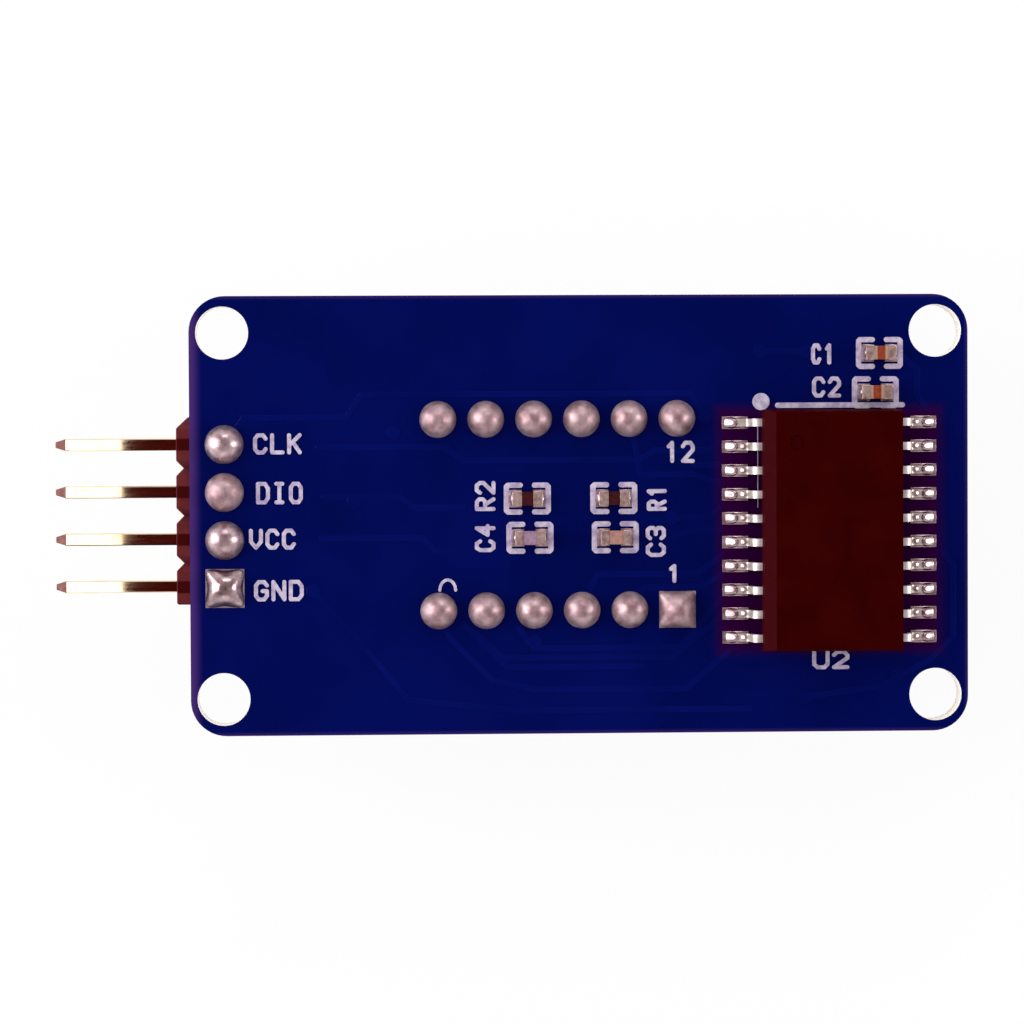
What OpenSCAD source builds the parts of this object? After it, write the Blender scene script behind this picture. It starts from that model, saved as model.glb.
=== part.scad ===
// Four digit seven segment display module, lying on its display face.
// X runs along the board, away from the header. Y runs towards the display's pin 12 row.
// Z points away from the display face, so the solder joints and the driver are on top.
// The origin is on the plane of the display face, under the middle of the mounting holes.

/* [Board] */
// Distance from the driver's lands to the board's short edge
board_end_gap = 1.7; // [0.6:0.1:8]
// Distance from the display's long side to the board's long edge
board_side_gap = 4.65; // [4:0.05:9]
// Thickness of the laminate
board_t = 1.6; // [0.8:0.1:2]
// Radius of the board's rounded corners
board_corner_r = 1.9; // [0.5:0.1:3]
// Diameter of the four mounting holes
mount_hole_d = 2.8; // [2:0.1:3]
// Distance from a mounting hole's centre to the board's short edge
mount_inset_x = 1.75; // [1.7:0.05:2.2]
// Distance from a mounting hole's centre to the board's long edge
mount_inset_y = 1.95; // [1.7:0.05:2.4]
// Thickness of the copper pads and lands above the laminate
pad_t = 0.05; // [0.03:0.01:0.1]
// Wall of the plated barrels in the drilled holes
barrel_wall = 0.05; // [0.03:0.01:0.08]

/* [Header] */
// Pitch of the header's and the display's pins
pin_pitch = 2.54; // [2.5:0.01:2.6]
// Distance from the header's legs to the board's short edge
header_inset = 1.84; // [1.4:0.02:2.5]
// Distance from the header's legs to the end of the display's shell
header_display_gap = 2.61; // [2.3:0.01:6]
// Width of a square header pin
header_pin_w = 0.64; // [0.5:0.01:0.7]
// Gap between the corners of a header pin and its plated hole
header_bore_gap = 0.01; // [0.005:0.005:0.1]
// Diameter of the round header pads, and width of the square one
header_pad_d = 2.05; // [1.8:0.05:2.15]
// Length of a header pin outside the block, with its point
header_free_l = 6.5; // [3:0.1:12]
// Length of the pin's pointed tip
header_tip_l = 0.55; // [0.3:0.05:1]
// Flat left at the end of the point
header_tip_w = 0.3; // [0.1:0.02:0.4]
// Inner radius of the pin's bend
header_bend_r = 0.2; // [0.1:0.05:0.4]
// Straight stretch between the pin's bend and the block
header_stub_l = 0.02; // [0.01:0.01:0.1]
// Depth of the moulded block, along the pins
block_depth = 2.1; // [1.5:0.1:2.6]
// Height of the moulded block
block_h = 2.54; // [2:0.02:3]
// Width of the flat on each section of the block
block_flat_w = 1.72; // [1.4:0.02:2]
// Depth of the notch between two sections
block_notch = 0.38; // [0.2:0.02:0.5]
// Bevel around the block's moulded end, beside the first pin
block_end_bevel = 0.6; // [0.3:0.05:0.7]
// Distance from the last pin to the end where the block was cut from a longer strip
block_cut_end = 0.94; // [0.88:0.02:1.27]

/* [Display] */
// Length of the display's shell, along X
display_l = 30.1; // [26:0.1:38]
// Width of the display's shell, along Y
display_w = 14; // [12.5:0.1:18]
// Height of the display from its face to the board
display_h = 7.2; // [6:0.1:9]
// Radius of the shell's upright corners
shell_corner_r = 0.3; // [0.1:0.05:0.6]
// Wall of the shell around the casting
shell_wall = 0.7; // [0.5:0.05:0.8]
// Thickness of the shell's front, which holds the light wells
shell_front_t = 4.2; // [3:0.1:4.5]
// Thickness of the black face film
film_t = 0.15; // [0.08:0.01:0.3]
// Draft of each side of a light well over its depth
well_draft = 0.18; // [0.05:0.01:0.25]
// Diameter of a display pin
display_pin_d = 0.5; // [0.4:0.02:0.6]
// Gap between a display pin and its plated hole
display_bore_gap = 0.125; // [0.05:0.005:0.2]
// Diameter of the round display pads, and width of the square one
display_pad_d = 1.95; // [1.6:0.05:2.3]
// Gap between the display's pads and the inside of its shell
display_pad_gap = 0.245; // [0.1:0.005:0.6]
// Thickness of the display's inner board
inner_board_t = 0.8; // [0.6:0.1:1.2]
// Gap around the display's inner board, filled by the casting
inner_board_gap = 0.25; // [0.15:0.05:0.4]
// Casting between the light wells and the inner board
casting_film_t = 0.1; // [0.05:0.01:0.2]
// How far the casting stays below the shell's rim
casting_recess = 0.3; // [0.15:0.05:0.6]

/* [Digits] */
// Height of a digit
digit_h = 9.14; // [7.5:0.02:10.5]
// Gap between two digits
digit_gap = 2.5; // [2:0.1:3]
// Gap between an outer digit and the shell's end
digit_end_gap = 1.3; // [1.2:0.1:2.5]
// Width of a segment
segment_w = 1.1; // [0.8:0.05:1.3]
// Distance from a segment's point to the corner that it shares
segment_gap = 0.13; // [0.08:0.01:0.2]
// Lean of the digits from upright, in degrees
digit_lean = 8; // [0:1:10]
// Diameter of a colon dot
colon_d = 1.3; // [0.8:0.1:1.6]
// Distance between the two colon dots
colon_gap = 3.4; // [2.6:0.1:4.4]
// Width of a light emitting die
die_w = 0.3; // [0.2:0.05:0.4]
// Height of a light emitting die
die_h = 0.15; // [0.1:0.01:0.2]

/* [Driver chip] */
// Gap between the display's pads and the driver's lands
driver_pads_gap = 1.425; // [0.5:0.025:3]
// Middle of the driver from the middle of the board, along Y
driver_y = -0.88; // [-1.5:0.02:0.5]
// Width of the driver's body, at its parting line
driver_w = 7.45; // [6:0.05:9]
// Height of the driver's body
driver_h = 2.3; // [1.8:0.05:2.8]
// Gap between the driver's body and the board
driver_standoff = 0.1; // [0.05:0.01:0.3]
// Draft of the body's sides, in degrees
driver_draft = 7; // [3:1:10]
// Width of the bevel along the side of pin 1
driver_bevel = 0.5; // [0.25:0.05:0.75]
// Diameter of the pin 1 dimple
dimple_d = 0.8; // [0.5:0.1:1.2]
// Depth of the pin 1 dimple
dimple_depth = 0.06; // [0.03:0.01:0.1]
// Distance from the dimple's middle to the body's two sides
dimple_inset = 1.75; // [1.4:0.05:2.2]
// Number of leads on each side
lead_count = 10; // [8:1:10]
// Pitch of the leads
lead_pitch = 1.27; // [1:0.01:1.4]
// Distance from the middle of an outer lead to the end of the body
lead_end = 0.685; // [0.3:0.005:1]
// Width of a lead
lead_w = 0.41; // [0.3:0.01:0.48]
// Thickness of a lead
lead_t = 0.25; // [0.2:0.01:0.3]
// How far a lead reaches out of the body
lead_reach = 1.4; // [1.2:0.02:1.7]
// Straight length of a lead before its first bend
lead_shoulder = 0.15; // [0.1:0.01:0.25]
// Inner radius of a lead's bends
lead_bend_r = 0.15; // [0.1:0.01:0.2]
// Angle that a lead turns through at each bend, in degrees
lead_turn = 82; // [75:1:88]
// Width of a driver land
land_w = 0.65; // [0.55:0.01:0.75]
// How far a land reaches past the toe of its lead
land_toe = 0.6; // [0.5:0.05:0.8]
// How far a land reaches behind the heel of its lead
land_heel = 0.15; // [0.05:0.05:0.25]

/* [Chip parts] */
// Length of a chip part
chip_l = 1.6; // [1.5:0.05:1.7]
// Width of a chip part
chip_w = 0.8; // [0.7:0.05:0.9]
// Height of a chip resistor
resistor_h = 0.45; // [0.35:0.05:0.6]
// Height of a chip capacitor
capacitor_h = 0.8; // [0.5:0.05:1]
// Length of a resistor's end cap
resistor_cap_l = 0.5; // [0.25:0.05:0.55]
// Length of a capacitor's end cap
capacitor_cap_l = 0.42; // [0.25:0.01:0.5]
// Plating thickness of an end cap
cap_wall = 0.04; // [0.02:0.01:0.06]
// How far a chip land reaches past the end of its part
chip_land_toe = 0.2; // [0.12:0.01:0.25]
// How far a chip land reaches past each side of its part
chip_land_side = 0.06; // [0.03:0.01:0.1]
// Middle of the two resistors from the middle of the display, along X
resistors_x = 0.68; // [0.4:0.02:1]
// Distance from the resistors' row to the middle between the display's pin rows
resistors_y = 0.86; // [0.8:0.02:1.2]
// Distance between the two resistors' middles
resistors_gap = 4.6; // [4:0.02:5]
// Middle of the two timing capacitors from the middle of the display, along X
capacitors_x = 0.78; // [0.4:0.02:1]
// Distance from the timing capacitors' row to the middle between the display's pin rows
capacitors_y = 1.22; // [1:0.02:1.5]
// Distance between the two timing capacitors' middles
capacitors_gap = 4.54; // [4:0.02:5]
// Middle of capacitor C1 from the middle of the driver, along X
c1_x = 2.7; // [1:0.01:3]
// Middle of capacitor C2 from the middle of the driver, along X
c2_x = 2.48; // [1:0.01:3]
// Gap between capacitor C2 and the driver's end
c2_driver_gap = 0.5; // [0.3:0.01:0.8]
// Gap between capacitors C1 and C2
c1_c2_gap = 1.29; // [0.5:0.01:1.6]

/* [Solder] */
// Height of a solder dome over its pad
dome_h = 0.85; // [0.75:0.05:1.1]
// How far a pin reaches into its solder dome
pin_in_dome = 0.55; // [0.3:0.05:0.6]
// Part of a lead's thickness that the solder climbs at its toe, in percent
toe_solder_climb = 80; // [50:5:95]
// Height of the solder along the sides of a lead's foot
foot_solder_h = 0.14; // [0.08:0.01:0.2]
// Height of the solder at the edge of its land
solder_edge_h = 0.04; // [0.02:0.01:0.06]
// Part of a chip part's height that the solder climbs, in percent
chip_solder_climb = 70; // [40:5:85]

/* [Hidden] */
$fn = 64;

header_pins = ["clk", "dio", "vcc", "gnd"];
header_count = len(header_pins);
display_pin_count = 12;
row_count = display_pin_count / 2;
chip_parts = ["r1", "r2", "c1", "c2", "c3", "c4"];

// Overlap of a cutting shape past the face that it cuts through
cut = 1;
board_bottom = display_h;
board_top = board_bottom + board_t;
land_top = board_top + pad_t;

// Distance from the display's middle to the outer edge of its last pads, along X
pads_reach = (row_count - 1) / 2 * pin_pitch + display_pad_d / 2;
// Distance from the driver's middle to the outer end of its lands, along X
land_outer = lead_reach + land_toe;
lands_reach = driver_w / 2 + land_outer;
// The board is as long as the header, the display and the driver need, one after the other
board_l = header_inset + header_display_gap + display_l / 2 + pads_reach
    + driver_pads_gap + 2 * lands_reach + board_end_gap;
board_w = display_w + 2 * board_side_gap;
board_end_x = board_l / 2;
board_side_y = board_w / 2;

header_x = -board_end_x + header_inset;
header_bore_d = sqrt(2) * header_pin_w + 2 * (header_bore_gap + barrel_wall);
header_ys = [for (i = [0:header_count - 1]) ((header_count - 1) / 2 - i) * pin_pitch];
block_top = board_bottom - pad_t;
header_axis_z = block_top - block_h / 2;
header_bend_axis_r = header_bend_r + header_pin_w / 2;
block_inner_x = header_x - header_bend_axis_r - header_stub_l;
block_outer_x = block_inner_x - block_depth;
header_tip_x = block_outer_x - header_free_l;
block_bevel_y = header_ys[0] + block_flat_w / 2;
block_moulded_y = block_bevel_y + block_end_bevel;
block_cut_y = header_ys[header_count - 1] - block_cut_end;

display_x = header_x + header_display_gap + display_l / 2;
display_row_y = display_w / 2 - shell_wall - display_pad_gap - display_pad_d / 2;
display_bore_d = display_pin_d + 2 * (display_bore_gap + barrel_wall);
shell_front_top = film_t + shell_front_t;
inner_board_bottom = shell_front_top + casting_film_t;
casting_top = board_bottom - casting_recess;
pin_top = land_top + pin_in_dome;
digit_count = 4;
digit_w = (display_l - 2 * digit_end_gap - (digit_count - 1) * digit_gap) / digit_count;
digit_xs = [for (i = [0:digit_count - 1])
    display_x + (i - (digit_count - 1) / 2) * (digit_w + digit_gap)];
// Half the distance between the middle lines of opposite segments
segment_x = (digit_w - segment_w) / 2;
segment_y = (digit_h - segment_w) / 2;

driver_x = display_x + pads_reach + driver_pads_gap + lands_reach;
driver_l = (lead_count - 1) * lead_pitch + 2 * lead_end;
driver_bottom = board_top + driver_standoff;
// Height of the leads' middle line where they leave the body, above the lands
lead_exit_h = driver_bottom + driver_h / 2 - land_top;
lead_axis_r = lead_bend_r + lead_t / 2;
lead_ys = [for (i = [0:lead_count - 1]) driver_y + (i - (lead_count - 1) / 2) * lead_pitch];
// Length of a lead's straight part between its bends
lead_leg_l = (lead_exit_h - lead_t / 2 - 2 * lead_axis_r * (1 - cos(lead_turn))) / sin(lead_turn);
// Distance that both bends and the leg take up, along X
lead_run = 2 * lead_axis_r * sin(lead_turn) + lead_leg_l * cos(lead_turn);
lead_foot_l = lead_reach - lead_shoulder - lead_run;
land_inner = lead_reach - lead_foot_l - land_heel;

chip_land_l = resistor_cap_l + chip_land_toe;
c2_y = driver_y + driver_l / 2 + c2_driver_gap + chip_w / 2;
c1_y = c2_y + chip_w + c1_c2_gap;

// Where each chip part sits, whether it is a resistor, and the colour of its body
function chip_place(name) =
    name == "r1" ? [display_x + resistors_x + resistors_gap / 2, resistors_y] :
    name == "r2" ? [display_x + resistors_x - resistors_gap / 2, resistors_y] :
    name == "c1" ? [driver_x + c1_x, c1_y] :
    name == "c2" ? [driver_x + c2_x, c2_y] :
    name == "c3" ? [display_x + capacitors_x + capacitors_gap / 2, -capacitors_y] :
    [display_x + capacitors_x - capacitors_gap / 2, -capacitors_y];
function is_resistor(name) = name == "r1" || name == "r2";
function chip_h(name) = is_resistor(name) ? resistor_h : capacitor_h;
function chip_cap_l(name) = is_resistor(name) ? resistor_cap_l : capacitor_cap_l;
function chip_colour(name) =
    is_resistor(name) ? "#2a1210" :
    name == "c3" ? "#a8806e" :
    name == "c4" ? "#a98f93" : "#8a5230";

// Pins 1 to 6 run along the lower row towards the header, 7 to 12 back along the upper row
function display_pin_x(number) =
    let (place = number <= row_count ? row_count - number : number - row_count - 1)
    display_x + (place - (row_count - 1) / 2) * pin_pitch;
function display_pin_y(number) = (number <= row_count ? -1 : 1) * display_row_y;

// A segment's outline runs between two corners of the digit, with a point at each end.
// An inset moves all six sides inwards by the same distance
function segment_outline(from, to, inset) =
    let (
        along = (to - from) / norm(to - from),
        across = [-along[1], along[0]] * (segment_w / 2 - inset),
        point = (segment_gap + sqrt(2) * inset) * along,
        shoulder = point + (segment_w / 2 - inset) * along
    )
    [from + point, from + shoulder + across, to - shoulder + across,
     to - point, to - shoulder - across, from + shoulder - across];
// A light well narrows from the face towards the die
function well_inset(z) = well_draft * (z - film_t) / shell_front_t;
// The digits lean to the right of someone who looks at the face, which is towards -X
function leaned(p) = [p[0] - p[1] * tan(digit_lean), p[1]];
segment_corners = [
    [[-segment_x, segment_y], [segment_x, segment_y]],
    [[-segment_x, 0], [segment_x, 0]],
    [[-segment_x, -segment_y], [segment_x, -segment_y]],
    [[-segment_x, 0], [-segment_x, segment_y]],
    [[segment_x, 0], [segment_x, segment_y]],
    [[-segment_x, -segment_y], [-segment_x, 0]],
    [[segment_x, -segment_y], [segment_x, 0]]
];

// Plain shapes that several pieces share
module slab(size_x, size_y, z0, z1, corner_r = 0) {
    translate([0, 0, z0]) linear_extrude(z1 - z0) rounded_rect(size_x, size_y, corner_r);
}

module rounded_rect(size_x, size_y, r) {
    if (r == 0) {
        square([size_x, size_y], center = true);
    } else {
        square([size_x - 2 * r, size_y], center = true);
        square([size_x, size_y - 2 * r], center = true);
        for (sx = [-1, 1], sy = [-1, 1])
            translate([sx * (size_x / 2 - r), sy * (size_y / 2 - r)]) circle(r);
    }
}

module rod(d, z0, z1) {
    translate([0, 0, z0]) cylinder(d = d, h = z1 - z0);
}

module at_header_hole(i) {
    translate([header_x, header_ys[i], 0]) children();
}

module at_display_hole(number) {
    translate([display_pin_x(number), display_pin_y(number), 0]) children();
}

module at_mount_holes() {
    for (sx = [-1, 1], sy = [-1, 1])
        translate([sx * (board_end_x - mount_inset_x), sy * (board_side_y - mount_inset_y), 0])
            children();
}

// Circuit board
module circuit_board() {
    color("#0a1a5c") difference() {
        slab(board_l, board_w, board_bottom, board_top, board_corner_r);
        at_mount_holes() rod(mount_hole_d, board_bottom - cut, board_top + cut);
        for (i = [0:header_count - 1])
            at_header_hole(i) rod(header_bore_d, board_bottom - cut, board_top + cut);
        for (number = [1:display_pin_count])
            at_display_hole(number) rod(display_bore_d, board_bottom - cut, board_top + cut);
    }
}

// A plated hole is a barrel through the board with a pad on each face
module plated_hole(bore_d, pad_d, is_square) {
    difference() {
        union() {
            rod(bore_d, board_bottom, board_top);
            for (z = [board_bottom - pad_t, board_top])
                if (is_square)
                    slab(pad_d, pad_d, z, z + pad_t);
                else
                    rod(pad_d, z, z + pad_t);
        }
        rod(bore_d - 2 * barrel_wall, board_bottom - cut, board_top + cut);
    }
}

module plated_holes_header() {
    color("#b8863a") for (i = [0:header_count - 1])
        at_header_hole(i) plated_hole(header_bore_d, header_pad_d, i == header_count - 1);
}

module plated_holes_display() {
    color("#b8863a") for (number = [1:display_pin_count])
        at_display_hole(number) plated_hole(display_bore_d, display_pad_d, number == 1);
}

// Solder joints of the header and the display
module dome_profile(half_w, height) {
    r = (half_w * half_w + height * height) / (2 * height);
    intersection() {
        translate([0, height - r]) circle(r);
        translate([-half_w, 0]) square([2 * half_w, height]);
    }
}

module round_dome(d) {
    translate([0, 0, land_top]) rotate_extrude() intersection() {
        dome_profile(d / 2, dome_h);
        square([d, 2 * dome_h]);
    }
}

// Surface tension pulls the solder on a square pad into a vault with four sides
module square_dome(w) {
    translate([0, 0, land_top]) intersection() {
        rotate([90, 0, 0]) linear_extrude(w, center = true) dome_profile(w / 2, dome_h);
        rotate([90, 0, 90]) linear_extrude(w, center = true) dome_profile(w / 2, dome_h);
    }
}

module joint(pad_d, bore_d, is_square) {
    if (is_square)
        square_dome(pad_d);
    else
        round_dome(pad_d);
    rod(bore_d - 2 * barrel_wall, board_bottom - pad_t, land_top);
}

module header_solder(i) {
    color("#b9a0a5") at_header_hole(i) difference() {
        joint(header_pad_d, header_bore_d, i == header_count - 1);
        slab(header_pin_w, header_pin_w, board_bottom - cut, pin_top);
    }
}

module display_solder(numbers) {
    color("#b9a0a5") for (number = numbers)
        at_display_hole(number) difference() {
            joint(display_pad_d, display_bore_d, number == 1);
            rod(display_pin_d, board_bottom - cut, pin_top);
        }
}

// Header block and pins
// A row of sections with a notch between each two, a bevelled end and a cut end
module notched_row(depth) {
    notch_w = pin_pitch - block_flat_w;
    beyond = block_end_bevel + cut;
    difference() {
        translate([-depth / 2, block_cut_y]) square([depth, block_moulded_y - block_cut_y]);
        for (side = [-1, 1], y = header_ys)
            translate([side * depth / 2, y - pin_pitch / 2])
                polygon([[0, -notch_w / 2], [-side * block_notch, 0], [0, notch_w / 2],
                         [side * cut, notch_w / 2], [side * cut, -notch_w / 2]]);
        for (side = [-1, 1])
            translate([side * depth / 2, block_bevel_y])
                polygon([[0, 0], [side * cut, 0], [side * cut, beyond], [-side * beyond, beyond]]);
    }
}

module header_housing() {
    block_x = (block_inner_x + block_outer_x) / 2;
    color("#662e32") difference() {
        intersection() {
            translate([block_x, 0, block_top - block_h])
                linear_extrude(block_h) notched_row(block_depth);
            translate([block_outer_x, 0, header_axis_z])
                rotate([0, 90, 0]) linear_extrude(block_depth) notched_row(block_h);
        }
        for (y = header_ys)
            translate([block_x, y, header_axis_z])
                cube([block_depth + 2 * cut, header_pin_w, header_pin_w], center = true);
    }
}

// The pin's outline seen from above and from the side, with the point at its outer end
module pin_outline(from_x, to_x) {
    polygon([[from_x, -header_pin_w / 2], [from_x, header_pin_w / 2],
             [to_x + header_tip_l, header_pin_w / 2], [to_x, header_tip_w / 2],
             [to_x, -header_tip_w / 2], [to_x + header_tip_l, -header_pin_w / 2]]);
}

module header_pin(i) {
    bend_x = header_x - header_bend_axis_r;
    bend_z = header_axis_z + header_bend_axis_r;
    color("#c79a45") translate([0, header_ys[i], 0]) {
        translate([header_x, 0, 0]) slab(header_pin_w, header_pin_w, bend_z, pin_top);
        translate([bend_x, 0, bend_z]) rotate([90, 0, 0]) rotate(-90) rotate_extrude(angle = 90)
            translate([header_bend_axis_r, 0]) square(header_pin_w, center = true);
        translate([0, 0, header_axis_z]) intersection() {
            linear_extrude(header_pin_w, center = true) pin_outline(bend_x, header_tip_x);
            rotate([90, 0, 0]) linear_extrude(header_pin_w, center = true)
                pin_outline(bend_x, header_tip_x);
        }
    }
}

// Driver chip
// A moulded body's outline: widest at its parting line, with a flat band where the leads leave
module drafted_outline(width) {
    rise = (driver_h - lead_t) / 2;
    inward = rise * tan(driver_draft);
    polygon([[-width / 2, -lead_t / 2], [-width / 2 + inward, -driver_h / 2],
             [width / 2 - inward, -driver_h / 2], [width / 2, -lead_t / 2],
             [width / 2, lead_t / 2], [width / 2 - inward, driver_h / 2],
             [-width / 2 + inward, driver_h / 2], [-width / 2, lead_t / 2]]);
}

module driver_body() {
    top_edge_x = -driver_w / 2 + (driver_h - lead_t) / 2 * tan(driver_draft);
    color("#2c0a0e") translate([driver_x, driver_y, driver_bottom + driver_h / 2]) difference() {
        intersection() {
            rotate([90, 0, 0]) linear_extrude(driver_l, center = true) difference() {
                drafted_outline(driver_w);
                translate([top_edge_x, driver_h / 2])
                    polygon([[-cut, -cut - driver_bevel], [-cut, cut],
                             [driver_bevel + cut, cut]]);
            }
            rotate([90, 0, 90]) linear_extrude(driver_w, center = true) drafted_outline(driver_l);
        }
        translate([-driver_w / 2 + dimple_inset, driver_l / 2 - dimple_inset, driver_h / 2])
            translate([0, 0, -dimple_depth]) cylinder(d = dimple_d, h = cut);
    }
}

// A quarter of a ring that turns a lead down or up, from its middle line's start
module lead_bend(turn, up) {
    flip = up ? 1 : -1;
    far = 2 * (lead_axis_r + lead_t);
    translate([0, flip * lead_axis_r]) intersection() {
        difference() {
            circle(lead_axis_r + lead_t / 2);
            circle(lead_axis_r - lead_t / 2);
        }
        polygon([[0, 0], [0, -flip * far], [far * tan(turn / 2), -flip * far],
                 [far * sin(turn), -flip * far * cos(turn)]]);
    }
}

module lead_profile() {
    translate([0, lead_exit_h - lead_t / 2]) square([lead_shoulder, lead_t]);
    translate([lead_shoulder, lead_exit_h]) {
        lead_bend(lead_turn, false);
        translate([lead_axis_r * sin(lead_turn), -lead_axis_r * (1 - cos(lead_turn))])
            rotate(-lead_turn) {
                translate([0, -lead_t / 2]) square([lead_leg_l, lead_t]);
                translate([lead_leg_l, 0]) lead_bend(lead_turn, true);
            }
    }
    translate([lead_reach - lead_foot_l, 0]) square([lead_foot_l, lead_t]);
}

// Both sides of the driver: -1 is the side of pin 1
module at_leads(side) {
    for (y = lead_ys)
        translate([driver_x + side * driver_w / 2, y, land_top])
            mirror([side < 0 ? 1 : 0, 0, 0]) rotate([90, 0, 0]) children();
}

module driver_leads(side) {
    color("#b9a1a8") at_leads(side) linear_extrude(lead_w, center = true) lead_profile();
}

module driver_lands() {
    color("#b8863a") for (side = [-1, 1])
        at_leads(side) translate([land_inner, -pad_t, -land_w / 2])
            cube([land_outer - land_inner, pad_t, land_w]);
}

// The fillet climbs from the land's end to the toe and lies low along the foot
module driver_solder(side) {
    toe_h = lead_t * toe_solder_climb / 100;
    color("#b9a0a5") at_leads(side) difference() {
        translate([0, 0, -land_w / 2]) linear_extrude(land_w)
            polygon([[land_inner, 0], [land_outer, 0], [land_outer, solder_edge_h],
                     [lead_reach, toe_h], [lead_reach - toe_h, foot_solder_h],
                     [land_inner + foot_solder_h, foot_solder_h], [land_inner, solder_edge_h]]);
        translate([0, 0, -lead_w / 2]) linear_extrude(lead_w) lead_profile();
    }
}

// Chip resistors and capacitors
module at_chip(name) {
    place = chip_place(name);
    translate([place[0], place[1], land_top]) children();
}

module chip_caps_envelope(name) {
    cap_l = chip_cap_l(name);
    for (side = [-1, 1])
        translate([side * (chip_l - cap_l) / 2, 0, chip_h(name) / 2])
            cube([cap_l, chip_w, chip_h(name)], center = true);
}

module chip_ceramic(name) {
    translate([0, 0, chip_h(name) / 2])
        cube([chip_l, chip_w, chip_h(name)] - 2 * cap_wall * [1, 1, 1], center = true);
}

module chip_body(name) {
    color(chip_colour(name)) at_chip(name) chip_ceramic(name);
}

module chip_end_caps(name) {
    color("#b7a0a8") at_chip(name) difference() {
        chip_caps_envelope(name);
        chip_ceramic(name);
    }
}

module chip_lands() {
    color("#b8863a") for (name = chip_parts, side = [-1, 1])
        at_chip(name)
            translate([side * (chip_l / 2 + chip_land_toe - chip_land_l / 2), 0, -pad_t / 2])
                cube([chip_land_l, chip_w + 2 * chip_land_side, pad_t], center = true);
}

// A hollow fillet climbs the end of the part, and a low rim lies around its end cap
module chip_fillet_profile(climb) {
    land_end_x = chip_l / 2 + chip_land_toe;
    hollow = [for (a = [0:15:90])
        [land_end_x - chip_land_toe * cos(a), climb - (climb - solder_edge_h) * sin(a)]];
    polygon(concat([[land_end_x, 0], [chip_l / 2, 0]], hollow));
}

module chip_solder(name) {
    color("#b9a0a5") at_chip(name) difference() {
        for (side = [-1, 1]) mirror([side < 0 ? 1 : 0, 0, 0]) {
            rotate([90, 0, 0]) linear_extrude(chip_w, center = true)
                chip_fillet_profile(chip_h(name) * chip_solder_climb / 100);
            translate([chip_l / 2 + chip_land_toe - chip_land_l, 0, 0])
                translate([0, -chip_w / 2 - chip_land_side, 0])
                    cube([chip_land_l, chip_w + 2 * chip_land_side, solder_edge_h]);
        }
        chip_caps_envelope(name);
        chip_ceramic(name);
    }
}

// Display
module at_colon_dots() {
    for (side = [-1, 1])
        translate(concat(leaned([0, side * colon_gap / 2]) + [display_x, 0], [0])) children();
}

module face_windows() {
    for (x = digit_xs, corners = segment_corners)
        translate([x, 0])
            polygon([for (p = segment_outline(corners[0], corners[1], 0)) leaned(p)]);
    at_colon_dots() circle(d = colon_d);
}

// One segment's well, between two heights
module segment_well(corners, z0, z1) {
    points = [for (z = [z0, z1], p = segment_outline(corners[0], corners[1], well_inset(z)))
        concat(leaned(p), [z])];
    count = len(points) / 2;
    front = [for (i = [count - 1:-1:0]) i];
    back = [for (i = [0:count - 1]) i + count];
    sides = [for (i = [0:count - 1]) [(i + 1) % count, (i + 1) % count + count, i + count, i]];
    polyhedron(points, concat([front, back], sides));
}

module light_wells() {
    z0 = film_t - cut;
    z1 = shell_front_top + cut;
    for (x = digit_xs, corners = segment_corners)
        translate([x, 0, 0]) segment_well(corners, z0, z1);
    at_colon_dots() translate([0, 0, z0])
        cylinder(h = z1 - z0, d1 = colon_d - 2 * well_inset(z0), d2 = colon_d - 2 * well_inset(z1));
}

module display_shell() {
    color("#ececea") difference() {
        translate([display_x, 0, 0])
            slab(display_l, display_w, film_t, board_bottom, shell_corner_r);
        translate([display_x, 0, 0])
            slab(display_l - 2 * shell_wall, display_w - 2 * shell_wall,
                 shell_front_top, board_bottom + cut);
        light_wells();
    }
}

module display_face() {
    color("#141416") linear_extrude(film_t) difference() {
        translate([display_x, 0]) rounded_rect(display_l, display_w, shell_corner_r);
        face_windows();
    }
}

module at_dies() {
    for (x = digit_xs, corners = segment_corners)
        translate(concat(leaned((corners[0] + corners[1]) / 2) + [x, 0], [0])) children();
    at_colon_dots() children();
}

module dies_solid() {
    at_dies() slab(die_w, die_w, inner_board_bottom - die_h, inner_board_bottom);
}

module inner_board_solid() {
    inner_gap = shell_wall + inner_board_gap;
    translate([display_x, 0, 0])
        slab(display_l - 2 * inner_gap, display_w - 2 * inner_gap,
             inner_board_bottom, inner_board_bottom + inner_board_t);
}

module display_pins_solid() {
    for (number = [1:display_pin_count])
        at_display_hole(number) rod(display_pin_d, inner_board_bottom, pin_top);
}

module display_casting() {
    color("#e6e2e0") difference() {
        union() {
            intersection() {
                light_wells();
                translate([display_x, 0, 0]) slab(display_l, display_w, film_t, casting_top);
            }
            translate([display_x, 0, 0])
                slab(display_l - 2 * shell_wall, display_w - 2 * shell_wall,
                     shell_front_top, casting_top);
        }
        inner_board_solid();
        dies_solid();
        display_pins_solid();
    }
}

module display_inner_board() {
    color("#c9b37a") difference() {
        inner_board_solid();
        display_pins_solid();
    }
}

module display_dies() {
    color("#8c2020") dies_solid();
}

module display_pin(number) {
    color("#c2b6ae") at_display_hole(number) rod(display_pin_d, inner_board_bottom, pin_top);
}

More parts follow.
